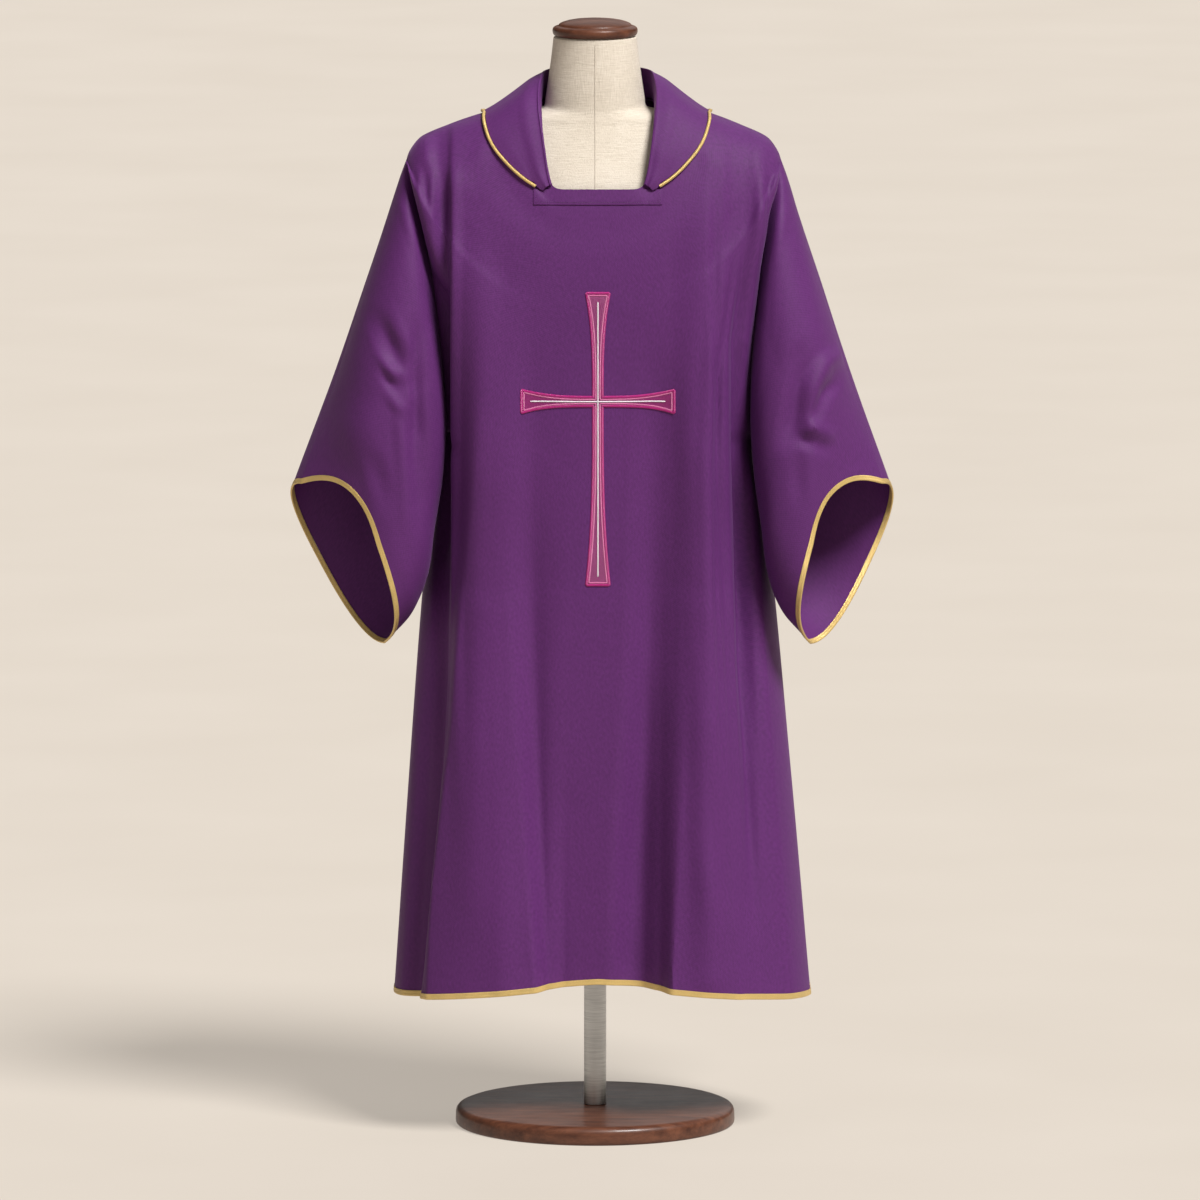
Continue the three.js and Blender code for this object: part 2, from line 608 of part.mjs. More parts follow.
// The path of the piping: its middle, the way along it and the way from it to the neck.
function pipingPath(hand, a) {
  const place = (b) => [column(COLLAR, "edge", b), column(COLLAR, "edgeV", b)];
  const middle = (b) => aroundPanels(hand, ...place(b), PIPING.radius + COLLAR_LIFT);
  const along = middle(Math.min(1, a + 0.01)).sub(middle(Math.max(0, a - 0.01))).normalize();
  if (a === 1) along.set(-hand, 0, 0);
  const [around, v] = place(a);
  const up = aroundPanels(hand, around, v, 1).sub(aroundPanels(hand, around, v, 0));
  const inward = up.clone().cross(along).multiplyScalar(hand).normalize();
  return { middle: middle(a), along, inward };
}

// The collar's section: up the stand, over the roll and down the fall to the piping.
function collarSection(hand, a) {
  const read = (name) => column(COLLAR, name, a);
  const neck = aroundPanels(hand, read("neck"), 0, 0);
  const edge = aroundPanels(hand, read("edge"), read("edgeV"), 0);
  const roll = columnPoint(COLLAR, "roll", a).multiply(new THREE.Vector3(hand, 1, 1));
  const stand = roll.clone().sub(neck);
  const up = stand.clone().normalize();
  const out = edge.clone().sub(neck).normalize();
  const at = (from, rise, reach) => from.clone().addScaledVector(up, rise).addScaledVector(out, reach);
  const foot = aroundPanels(hand, read("neck"), 0, FOOT_LIFT);
  const points = [foot.addScaledVector(collarFoot(hand, a), ROLL.inset)];
  points.push(at(neck.clone().lerp(roll, 0.5), 0, -ROLL.inset), at(roll, -ROLL.under, -ROLL.inset));
  points.push(at(roll, 0, ROLL.over), at(roll, -ROLL.drop, ROLL.out));
  const rimGap = PIPING.radius + PIPING.gap;
  for (const part of [0.2, 0.4, 0.6, 0.8]) {
    const t = part * (1 - rimGap / edge.distanceTo(neck));
    const place = read("neck") + (read("edge") - read("neck")) * t;
    const point = aroundPanels(hand, place, read("edgeV") * t, COLLAR_WALL + COLLAR_LIFT);
    points.push(point.addScaledVector(stand, (1 - t) ** ROLL.power).addScaledVector(out, ROLL.out * (1 - t)));
  }
  const rim = aroundPanels(hand, read("edge"), read("edgeV"), COLLAR_WALL + COLLAR_LIFT);
  points.push(rim.addScaledVector(pipingPath(hand, a).inward, rimGap));
  return points;
}

// From the neckline's edge into the opening, along the panels.
function collarFoot(hand, a) {
  const place = column(COLLAR, "neck", a);
  return aroundPanels(hand, place, 0, 0).sub(aroundPanels(hand, place, 0.4, 0)).normalize();
}

function pipingRing(hand, part) {
  const { middle, along, inward } = pipingPath(hand, PIPING.start + (1 - PIPING.start) * part);
  const other = along.clone().cross(inward);
  return range(PIPING.sides, (n) => {
    const angle = (hand * 2 * Math.PI * n) / PIPING.sides;
    const spoke = inward.clone().multiplyScalar(Math.cos(angle)).addScaledVector(other, Math.sin(angle));
    return middle.clone().addScaledVector(spoke, PIPING.radius);
  });
}

// Both halves of something that goes round the neck, from the right front end to the left one.
function roundNeck(section, steps) {
  return range(2 * steps + 1, (n) => section(...aroundNeck(n, steps)));
}

function aroundNeck(n, steps) {
  return n <= steps ? [RIGHT, n / steps] : [LEFT, 2 - n / steps];
}

const collarStyle = { edge: (i, j) => (j === 0 ? collarFoot(...aroundNeck(i, COLLAR_STEPS)) : null) };
add("collar", wall(roundNeck(collarSection, COLLAR_STEPS), COLLAR_WALL, collarStyle), "purple");
add("collar_piping", loft(roundNeck(pipingRing, PIPING.steps)), "gold");

// ---------------------------------------------------------------- pieces laid on the front
// The smooth front panel's q and v where it has this x and this height, by steps of Newton's method.
function onSmoothFront(x, z) {
  let q = x / BODY[BODY.length - 1].side;
  let v = curve(BODY.map((row) => -row.frontZ), BODY.map((row) => row.v), -z);
  const step = 1e-3;
  const share = 0.8;
  for (let i = 0; i < 16; i++) {
    const here = panelPoint(FRONT, q, v);
    const byQ = panelPoint(FRONT, q + step, v).sub(here).divideScalar(step);
    const byV = panelPoint(FRONT, q, v + step).sub(here).divideScalar(step);
    const area = byQ.x * byV.z - byV.x * byQ.z;
    q += (share * ((x - here.x) * byV.z - (z - here.z) * byV.x)) / area;
    v = clamp(v + (share * ((z - here.z) * byQ.x - (x - here.x) * byQ.z)) / area, 0, HEM);
  }
  return { q, v };
}

// The point over the front panel's own faces that has this x and this height.
function onFront(x, z, lift) {
  const aim = { x, z };
  let point;
  for (let i = 0; i < 4; i++) {
    const { q, v } = onSmoothFront(aim.x, aim.z);
    point = onCloth(FRONT, q, v);
    const out = outward(panelPoint, FRONT, q, v);
    aim.x += x - point.x;
    aim.z += z - point.z;
    point.addScaledVector(out, lift);
  }
  return point;
}

function neckBand() {
  const { half, top, low, across, down } = NECK_BAND;
  const grid = range(across + 1, (i) =>
    range(down + 1, (j) => {
      const x = -half + (2 * half * i) / across;
      return onFront(x, top + ((low - top) * j) / down, LIFT + NECK_BAND.wall);
    }),
  );
  return wall(grid, NECK_BAND.wall, { hand: FRONT });
}

add("neck_band", neckBand(), "purple");

// A cross with arms that flare at their ends, cut from cells between lines across and down the chest.
function cross() {
  const { top, centre, foot, arm, half, flare, step } = CROSS;
  const lines = (from, to) => range(Math.round(Math.abs(to - from) / step), (n) => n + 1).map(
    (n, _, all) => from + ((to - from) * n) / all.length,
  );
  const xs = [...lines(-half, -arm).reverse(), -half, 0, half, ...lines(half, arm)];
  const zs = [...lines(centre + half, top).reverse(), centre + half, centre, centre - half];
  zs.push(...lines(centre - half, foot));
  const widen = (far, reach) => 1 + (flare / half) * Math.max(0, far / reach) ** 3;
  const keep = (x, z) => Math.abs(x) < half || Math.abs(z - centre) < half;
  const found = new Map();
  const places = [];
  const corner = (i, j) => {
    const key = i * zs.length + j;
    if (!found.has(key)) {
      found.set(key, places.length);
      const dz = zs[j] - centre;
      const upright = widen(Math.abs(dz) - half, (dz > 0 ? top - centre : centre - foot) - half);
      const level = widen(Math.abs(xs[i]) - half, arm - half);
      places.push([xs[i] * upright, centre + dz * level]);
    }
    return found.get(key);
  };
  const cells = [];
  for (let i = 0; i < xs.length - 1; i++) {
    for (let j = 0; j < zs.length - 1; j++) {
      if (!keep((xs[i] + xs[i + 1]) / 2, (zs[j] + zs[j + 1]) / 2)) continue;
      cells.push([corner(i, j), corner(i + 1, j), corner(i + 1, j + 1), corner(i, j + 1)]);
    }
  }
  return slab(cells, (lift) => places.map(([x, z]) => onFront(x, z, lift)), CROSS.wall);
}

// A closed slab from four-cornered cells: layer(lift) gives every corner at that clearance.
function slab(cells, layer, thickness) {
  const upper = layer(LIFT + thickness);
  const lower = layer(LIFT);
  const sides = new Map();
  const index = [];
  const quad = (a, b, c, d) => index.push(a, b, c, a, c, d);
  for (const [a, b, c, d] of cells) {
    quad(a, b, c, d);
    quad(...[d, c, b, a].map((n) => n + upper.length));
    for (const [from, to] of [[a, b], [b, c], [c, d], [d, a]]) {
      if (!sides.delete(`${to} ${from}`)) sides.set(`${from} ${to}`, [from, to]);
    }
  }
  for (const [from, to] of sides.values()) quad(to, from, from + upper.length, to + upper.length);
  return solid([...upper, ...lower], index);
}

add("cross", cross(), "magenta");

// ---------------------------------------------------------------- bindings
// A rounded strip that runs on past the last row of a wall's grid.
function binding({ grid, style }, { width, wall: thick, gap }) {
  const proud = (thick - CLOTH) / 2;
  const inside = proud - thick;
  const shape = [
    [gap, proud],
    [width - BAND_EDGE.inset, proud],
    [width, proud - BAND_EDGE.drop],
    [width, inside + BAND_EDGE.drop],
    [width - BAND_EDGE.inset, inside],
    [gap, inside],
  ];
  const last = grid[0].length - 1;
  const open = !(style.round ?? false);
  const rings = grid.map((column, i) => {
    const out = gridNormal(grid, i, last, style);
    const past = column[last].clone().sub(column[last - 1]);
    const beside = (n) => grid[(i + n + grid.length) % grid.length][last].clone();
    const onSeam = open && (i === 0 || i === grid.length - 1);
    const on = onSeam ? past.clone() : out.clone().cross(beside(1).sub(beside(-1)));
    on.multiplyScalar(Math.sign(on.dot(past))).addScaledVector(out, -on.dot(out)).normalize();
    const rim = column[last];
    return shape.map(([ahead, high]) => rim.clone().addScaledVector(on, ahead).addScaledVector(out, high));
  });
  return loft(rings, !open);
}

add("hem_binding_front", binding(panelOf(FRONT), HEM_BAND), "gold");
add("hem_binding_back", binding(panelOf(BACK), HEM_BAND), "gold");
add("cuff_binding_right", binding(SLEEVES[0], CUFF_BAND), "gold");
add("cuff_binding_left", binding(SLEEVES[1], CUFF_BAND), "gold");

// ---------------------------------------------------------------- the dress form
function formRing(row) {
  return range(FORM_AROUND, (i) => {
    const angle = (2 * Math.PI * i) / FORM_AROUND;
    const { reach, depth } = squircle(angle, row.square);
    const y = Math.sin(angle) < 0 ? -row.front * depth : row.back * depth;
    return new THREE.Vector3(FORM_X + Math.sign(Math.cos(angle)) * row.half * reach, y, row.z);
  });
}

function turned(rows) {
  const round = ({ z, radius }) => ({ z, half: radius, front: radius, back: radius, square: 2 });
  return loft(rows.map((row) => formRing(round(row))));
}

add("form_body", loft(FORM.map(formRing)), "linen");
add("form_cap", turned(CAP), "walnut");
add("stand_pole", turned([POLE.from, POLE.to].map((z) => ({ z, radius: POLE.radius }))), "steel");
add("stand_base", turned(BASE), "walnut");

export default dalmatic;
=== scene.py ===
import math

import bpy
import numpy as np
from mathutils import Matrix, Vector


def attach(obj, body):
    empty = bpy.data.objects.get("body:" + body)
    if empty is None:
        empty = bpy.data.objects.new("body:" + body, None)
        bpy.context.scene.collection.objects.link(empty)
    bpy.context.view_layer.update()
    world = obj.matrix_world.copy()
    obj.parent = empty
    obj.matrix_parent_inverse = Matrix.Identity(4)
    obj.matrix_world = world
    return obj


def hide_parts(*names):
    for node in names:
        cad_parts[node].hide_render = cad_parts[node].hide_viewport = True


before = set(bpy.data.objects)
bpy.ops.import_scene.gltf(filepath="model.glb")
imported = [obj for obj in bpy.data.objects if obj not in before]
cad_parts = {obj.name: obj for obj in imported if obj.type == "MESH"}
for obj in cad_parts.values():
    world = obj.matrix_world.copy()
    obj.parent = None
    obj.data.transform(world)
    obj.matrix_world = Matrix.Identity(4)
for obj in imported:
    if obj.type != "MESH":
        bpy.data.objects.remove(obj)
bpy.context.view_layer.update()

RIGHT, LEFT = -1, 1
FRONT, BACK = -1, 1
TIP, PIT, HEM = 5, 10, 20  # the body's sections at the armhole's tip, at its pit and at the hem
CLOTH = 1.3  # wall of the panels and sleeves
PIT_REACH = 219.0

# ---- camera, light and floor
TARGET = Vector((0.003, 0.0, 0.757))
ELEVATION = math.radians(8)
DISTANCE = 20.0
FRAME_WIDTH = 1.716  # metres across the picture at the target
SENSOR_WIDTH = 36
FAR = 200.0
ROOM_STRENGTH = 0.13

camera = bpy.data.objects.new("camera", bpy.data.cameras.new("camera"))
bpy.context.scene.collection.objects.link(camera)
camera.data.sensor_width = SENSOR_WIDTH
camera.data.lens = SENSOR_WIDTH * DISTANCE / FRAME_WIDTH
camera.data.clip_end = FAR
camera.location = TARGET + DISTANCE * Vector((0, -math.cos(ELEVATION), math.sin(ELEVATION)))
camera.rotation_mode = "QUATERNION"
camera.rotation_quaternion = (TARGET - camera.location).to_track_quat("-Z", "Y")
bpy.context.scene.camera = camera
bpy.context.scene.view_settings.view_transform = "Standard"


def sun(name, azimuth, elevation, strength, spread, colour):
    """A wide, far, soft light. Azimuth is round from the front towards +X."""
    light = bpy.data.lights.new(name, "SUN")
    light.energy = strength
    light.angle = math.radians(spread)
    light.color = colour
    a, e = math.radians(azimuth), math.radians(elevation)
    towards = Vector((math.sin(a) * math.cos(e), -math.cos(a) * math.cos(e), math.sin(e)))
    thing = bpy.data.objects.new(name, light)
    thing.rotation_mode = "QUATERNION"
    thing.rotation_quaternion = towards.to_track_quat("Z", "Y")
    bpy.context.scene.collection.objects.link(thing)


sun("key", 39, 54, 5.0, 20, (1, 0.99, 0.97))
sun("fill", -50, 24, 0.12, 70, (0.97, 0.98, 1))
sun("rim", 165, 40, 0.5, 60, (1, 1, 1))

PALE = (0.72, 0.648, 0.575, 1)  # the studio's own colour
world = bpy.data.worlds.new("studio")
bpy.context.scene.world = world
world.use_nodes = True
tree = world.node_tree
room = tree.nodes["Background"]
room.inputs["Color"].default_value = PALE
room.inputs["Strength"].default_value = ROOM_STRENGTH
seen = tree.nodes.new("ShaderNodeBackground")
seen.inputs["Color"].default_value = PALE
choice = tree.nodes.new("ShaderNodeMixShader")
rays = tree.nodes.new("ShaderNodeLightPath")
tree.links.new(rays.outputs["Is Camera Ray"], choice.inputs["Fac"])
tree.links.new(room.outputs[0], choice.inputs[1])
tree.links.new(seen.outputs[0], choice.inputs[2])
tree.links.new(choice.outputs[0], tree.nodes["World Output"].inputs["Surface"])


# ---- materials
class Nodes:
    """A material's node tree, with short calls to add and join nodes."""

    def __init__(self, name):
        self.material = bpy.data.materials.new(name)
        self.material.use_nodes = True
        self.tree = self.material.node_tree
        self.shader = self.tree.nodes["Principled BSDF"]

    def add(self, kind, **values):
        node = self.tree.nodes.new(kind)
        for key, value in values.items():
            if key in node.inputs.keys():
                node.inputs[key].default_value = value
            else:
                setattr(node, key, value)
        return node

    def link(self, out, into):
        self.tree.links.new(out, into)
        return self

    def set(self, **values):
        for key, value in values.items():
            self.shader.inputs[key.replace("_", " ")].default_value = value

    def mapping(self, source, scale, turn=0.0):
        node = self.add("ShaderNodeMapping")
        node.inputs["Scale"].default_value = scale
        node.inputs["Rotation"].default_value = (0, 0, turn)
        self.link(source, node.inputs["Vector"])
        return node.outputs[0]

    def noise(self, vector, scale, detail=2.0, roughness=0.5):
        node = self.add("ShaderNodeTexNoise", Scale=scale, Detail=detail, Roughness=roughness)
        self.link(vector, node.inputs["Vector"])
        return node.outputs["Fac"]

    def wave(self, vector, scale, direction="X", distortion=0.0):
        node = self.add("ShaderNodeTexWave", Scale=scale, Distortion=distortion, bands_direction=direction)
        node.inputs["Detail"].default_value = 0
        self.link(vector, node.inputs["Vector"])
        return node.outputs["Fac"]

    def math(self, what, a, b):
        node = self.add("ShaderNodeMath", operation=what)
        for n, value in enumerate((a, b)):
            if isinstance(value, (int, float)):
                node.inputs[n].default_value = value
            else:
                self.link(value, node.inputs[n])
        return node.outputs[0]

    def total(self, *shares):
        """The sum of (value, share) pairs."""
        parts = [self.math("MULTIPLY", value, share) for value, share in shares]
        made = parts[0]
        for part in parts[1:]:
            made = self.math("ADD", made, part)
        return made

    def colour(self, fac, *stops):
        self.link(self.ramp(fac, stops), self.shader.inputs["Base Color"])

    def roughness(self, value, share, least):
        rough = self.math("ADD", self.math("MULTIPLY", value, share), least)
        self.link(rough, self.shader.inputs["Roughness"])

    def ramp(self, fac, stops):
        node = self.add("ShaderNodeValToRGB")
        marks = node.color_ramp.elements
        while len(marks) < len(stops):
            marks.new(0.5)
        for mark, (place, colour) in zip(marks, stops):
            mark.position = place
            mark.color = (*colour, 1)
        self.link(fac, node.inputs["Fac"])
        return node.outputs["Color"]

    def bump(self, height, distance, strength=1.0, under=None):
        node = self.add("ShaderNodeBump", Strength=strength, Distance=distance)
        self.link(height, node.inputs["Height"])
        if under is not None:
            self.link(under, node.inputs["Normal"])
        self.link(node.outputs[0], self.shader.inputs["Normal"])
        return node.outputs[0]

    @property
    def uv(self):
        return self.add("ShaderNodeTexCoord").outputs["UV"]

    @property
    def space(self):
        return self.add("ShaderNodeTexCoord").outputs["Object"]


def points_of(*parts):
    """Points from their coordinates, given as arrays that broadcast together."""
    return np.stack(np.broadcast_arrays(*parts), -1)


def shade(colour, factor):
    return tuple(min(1.0, c * factor) for c in colour)


TWILL_TURN = math.radians(52)
PURPLE = (0.094, 0.0185, 0.122)
GOLD = (0.74, 0.52, 0.19)


def cloth_material(name, colour, twill=900.0):
    """A fine twill with a soft sheen: diagonal ribs, crossing threads and slow changes of depth.

    UVs are in metres, and a higher twill gives finer ribs.
    """
    n = Nodes(name)
    uv, space = n.uv, n.space
    slow = n.noise(space, 5.0, 3.0, 0.6)
    mottle = n.noise(space, 70.0, 3.0, 0.65)
    ribs = n.wave(n.mapping(uv, (1, 1, 1), TWILL_TURN), twill / (2 * math.pi))
    threads = n.wave(uv, twill * 1.7 / (2 * math.pi), "Y", 0.4)
    grain = n.noise(uv, 1500.0, 2.0, 0.7)
    weave = n.noise(n.mapping(uv, (1, 0.5, 1), TWILL_TURN), 360.0, 2.0, 0.6)
    mix = n.total((slow, 0.15), (mottle, 0.1), (weave, 0.65), (ribs, 0.1))
    n.colour(mix, (0.3, shade(colour, 0.80)), (0.5, colour), (0.7, shade(colour, 1.2)))
    n.roughness(mottle, 0.16, 0.56)
    height = n.total((ribs, 0.3), (threads, 0.15), (n.math("ADD", grain, weave), 0.6))
    soft = n.bump(n.noise(space, 22.0, 3.0, 0.55), 0.0022, 0.35)
    n.bump(height, 0.0003, 0.6, soft)
    n.set(Specular_IOR_Level=0.22, Sheen_Weight=0.09, Sheen_Roughness=0.4)
    n.shader.inputs["Sheen Tint"].default_value = (0.72, 0.42, 0.9, 1)
    return n.material


def thread_material(name, colour, pitch, direction="X", rough=0.4, dark=0.55, sheen=0.0, metallic=0.0):
    """Rows of tight thread, across the piece by its UVs: satin stitch, or the braid of an edging."""
    n = Nodes(name)
    uv, space = n.uv, n.space
    rows = n.wave(n.mapping(uv, (1, 1, 1), math.radians(8)), 1 / (pitch * math.pi), direction, 0.6)
    loose = n.noise(uv, 900.0, 2.0, 0.6)
    slow = n.noise(space, 30.0, 2.0, 0.5)
    mix = n.total((rows, 0.6), (slow, 0.4))
    n.colour(mix, (0.12, shade(colour, dark)), (0.55, colour), (0.9, shade(colour, 1.25)))
    n.roughness(loose, 0.2, rough - 0.1)
    n.bump(n.total((rows, 0.8), (loose, 0.3)), 0.0004, 0.7)
    n.set(Metallic=metallic, Sheen_Weight=sheen)
    return n.material


def linen_material():
    """Plain-woven natural linen, with slubs in both directions."""
    n = Nodes("linen_cover")
    space = n.space
    warp = n.noise(n.mapping(space, (1.0, 1.0, 0.05)), 950.0, 2.0, 0.6)
    weft = n.noise(n.mapping(space, (0.06, 0.06, 1.0)), 950.0, 2.0, 0.6)
    slow = n.noise(space, 9.0, 3.0, 0.6)
    weave = n.math("ADD", warp, weft)
    mix = n.total((weave, 0.35), (slow, 0.3))
    n.colour(mix, (0.3, (0.50, 0.435, 0.355)), (0.5, (0.65, 0.58, 0.49)), (0.7, (0.76, 0.70, 0.615)))
    n.bump(weave, 0.0007, 0.8)
    n.set(Roughness=0.9, Specular_IOR_Level=0.2, Sheen_Weight=0.15)
    return n.material


def wood_material(name, dark, light, stretch, coat):
    """Varnished dark wood: long grain, pores and a clear coat with faint smears."""
    n = Nodes(name)
    space = n.space
    long_way = n.mapping(space, stretch)
    bands = n.noise(long_way, 14.0, 5.0, 0.62)
    pores = n.noise(n.mapping(space, tuple(2.2 * x for x in stretch)), 60.0, 2.0, 0.7)
    middle = tuple((a + b) / 2 for a, b in zip(dark, light))
    n.colour(n.total((bands, 0.75), (pores, 0.25)), (0.32, dark), (0.52, middle), (0.68, light))
    n.roughness(n.noise(space, 25.0, 3.0, 0.6), 0.16, 0.36)
    n.bump(pores, 0.0003, 0.25)
    n.set(Coat_Weight=coat, Coat_Roughness=0.2, Specular_IOR_Level=0.3)
    return n.material


def steel_material():
    """Brushed steel, with fine lines round the tube and faint handling marks."""
    n = Nodes("brushed_steel")
    space = n.space
    lines = n.noise(n.mapping(space, (0.03, 0.03, 1.0)), 900.0, 2.0, 0.6)
    marks = n.noise(space, 18.0, 3.0, 0.6)
    n.colour(lines, (0.3, (0.42, 0.42, 0.42)), (0.7, (0.58, 0.58, 0.57)))
    n.roughness(marks, 0.2, 0.25)
    n.bump(lines, 0.0002, 0.2)
    n.set(Metallic=0.95)
    return n.material


def floor_material():
    """Pale paint with a painted glow: it gives off a little light of its own colour, which evens the
    floor's brightness and softens the shadows cast on it.
    """
    n = Nodes("floor_paint_and_glow")
    cloud = n.noise(n.space, 2.0, 2.0, 0.5)
    paint = n.ramp(cloud, [(0.3, (0.24, 0.216, 0.189)), (0.7, (0.247, 0.223, 0.196))])
    n.link(paint, n.shader.inputs["Base Color"])
    # Painted glow: the paint's colour is also given off as light.
    n.link(paint, n.shader.inputs["Emission Color"])
    n.set(Roughness=0.95, Specular_IOR_Level=0.05, Emission_Strength=1.75)
    return n.material


# ---- meshes
MM = 1e-3
SHARP = 40.0


def make_object(name, points, faces, material, uvs=None, sharp=SHARP):
    """A mesh from points and UVs in millimetres. Edges that turn by more than sharp degrees stay crisp."""
    mesh = bpy.data.meshes.new(name)
    mesh.from_pydata([tuple(p) for p in np.asarray(points, float) * MM], [], [tuple(f) for f in faces])
    if uvs is not None:
        layer = mesh.uv_layers.new(name="uv")
        order = np.zeros(len(mesh.loops), int)
        mesh.loops.foreach_get("vertex_index", order)
        layer.data.foreach_set("uv", (np.asarray(uvs, float)[order] * MM).astype(np.float32).ravel())
    mesh.polygons.foreach_set("use_smooth", [True] * len(mesh.polygons))
    mesh.update()
    if sharp:
        mesh.set_sharp_from_angle(angle=math.radians(sharp))
    thing = bpy.data.objects.new(name, mesh)
    bpy.context.scene.collection.objects.link(thing)
    mesh.materials.append(material)
    return thing


def grid_faces(columns, rows, round_it=False, start=0, flip=False):
    """Quads between a grid's points, numbered down each column. round_it closes it into a ring."""
    i = np.arange(columns if round_it else columns - 1)
    j = np.arange(rows - 1)
    a = i[:, None] * rows + j[None, :]
    b = ((i + 1) % columns)[:, None] * rows + j[None, :]
    quads = points_of(a, b, b + 1, a + 1).reshape(-1, 4) + start
    return quads[:, ::-1] if flip else quads


def grid_normals(grid, hand=1, round_it=False):
    """Outward from a grid of points, grid[column, row]."""
    if round_it:
        wide = np.concatenate([grid[-1:], grid, grid[:1]])
        across = wide[2:] - wide[:-2]
    else:
        across = np.gradient(grid, axis=0)
    down = np.gradient(grid, axis=1)
    normal = np.cross(across, down) * hand
    return normal / np.maximum(np.linalg.norm(normal, axis=-1, keepdims=True), 1e-9)


def run_lengths(line):
    steps = np.linalg.norm(np.diff(line, axis=0), axis=-1)
    return np.concatenate([[0], np.cumsum(steps)])


def grid_uvs(grid):
    """The cloth's own measures: how far across and how far down, in millimetres."""
    columns, rows = grid.shape[:2]
    across = run_lengths(grid[:, rows // 2])
    down = run_lengths(grid[columns // 2])
    return points_of(across[:, None], -down[None, :]).reshape(-1, 2)


def shell(name, grid, thickness, material, hand=1, round_it=False, normals=None):
    """A closed wall of cloth whose outer face is the grid."""
    columns, rows = grid.shape[:2]
    if normals is None:
        normals = grid_normals(grid, hand, round_it)
    inner = grid - normals * thickness
    count = columns * rows
    outside = grid_faces(columns, rows, round_it, 0, flip=hand < 0)
    inside = grid_faces(columns, rows, round_it, count, flip=hand > 0)
    rims = []

    def rim(line):
        line = np.asarray(line)
        far = np.roll(line, -1) if round_it else line[1:]
        near = line if round_it else line[:-1]
        rims.append(points_of(near, far, far + count, near + count))

    index = np.arange(count).reshape(columns, rows)
    rim(index[::-1, 0] if hand > 0 else index[:, 0])
    rim(index[:, -1] if hand > 0 else index[::-1, -1])
    if not round_it:
        rim(index[0, :] if hand > 0 else index[0, ::-1])
        rim(index[-1, ::-1] if hand > 0 else index[-1, :])
    points = np.concatenate([grid.reshape(-1, 3), inner.reshape(-1, 3)])
    faces = np.concatenate([outside, inside, *rims])
    uvs = grid_uvs(grid)
    return make_object(name, points, faces.tolist(), material, np.concatenate([uvs, uvs]))


def tube(name, rings, material, round_it=False):
    """A body through rings of points; open ends are closed."""
    rings = np.asarray(rings)
    count, size = rings.shape[:2]
    closed = np.concatenate([rings, rings[:, :1]], 1)
    index = np.arange(count * size).reshape(count, size)
    wrapped = np.concatenate([index, index[:, :1]], 1)
    if round_it:
        wrapped = np.concatenate([wrapped, wrapped[:1]])
    quads = points_of(wrapped[:-1, :-1], wrapped[:-1, 1:], wrapped[1:, 1:], wrapped[1:, :-1])
    faces = quads.reshape(-1, 4).tolist()
    if not round_it:
        faces += [index[0, ::-1].tolist(), index[-1].tolist()]
    points = rings.reshape(-1, 3)
    a, b, c, d = (points[quads.reshape(-1, 4)[:, n]] for n in range(4))
    volume = np.einsum("ij,ij->", a, np.cross(b, c)) + np.einsum("ij,ij->", a, np.cross(c, d))
    if volume < 0:
        faces = [face[::-1] for face in faces]
    along = run_lengths(rings.mean(1))
    around = run_lengths(closed[count // 2])[:-1]
    uvs = points_of(along[:, None], around[None, :]).reshape(-1, 2)
    return make_object(name, points, faces, material, uvs)


# ---- small maths
def ease(x):
    t = np.clip(x, 0, 1)
    return t * t * (3 - 2 * t)


def curve(places, values, x):
    """A smooth curve through the values at these places."""
    places, values = np.asarray(places, float), np.asarray(values, float)
    t = np.clip(np.asarray(x, float), places[0], places[-1])
    last = len(places) - 1
    i = np.clip(np.searchsorted(places, t, side="left") - 1, 0, last - 1)
    low = np.maximum(np.arange(last + 1) - 1, 0)
    high = np.minimum(np.arange(last + 1) + 1, last)
    slope = (values[high] - values[low]) / (places[high] - places[low])
    span = places[i + 1] - places[i]
    u = (t - places[i]) / span
    rise = u * u * (3 - 2 * u)
    leave = u * (1 - u) ** 2 * span * slope[i]
    arrive = u * u * (u - 1) * span * slope[i + 1]
    return values[i] + (values[i + 1] - values[i]) * rise + leave + arrive


def table(names, *rows):
    """Columns by name. The first one is where each row applies."""
    names = names.split()
    made = {name: np.array([row[n] for row in rows], float) for n, name in enumerate(names)}
    made["places"] = made[names[0]]
    return made


def read(source, name, x):
    values = source[name]
    if values.ndim == 1:
        return curve(source["places"], values, x)
    return np.stack([curve(source["places"], values[:, n], x) for n in range(values.shape[1])], -1)


def squircle(angle, square):
    c, s = np.abs(np.cos(angle)), np.abs(np.sin(angle))
    k = (c**square + s**square) ** (-1 / square)
    return c * k, s * k


def circle(sides):
    return np.linspace(0, 2 * math.pi, sides + 1)[:-1]


def unit(vector):
    return vector / np.maximum(np.linalg.norm(vector, axis=-1, keepdims=True), 1e-9)


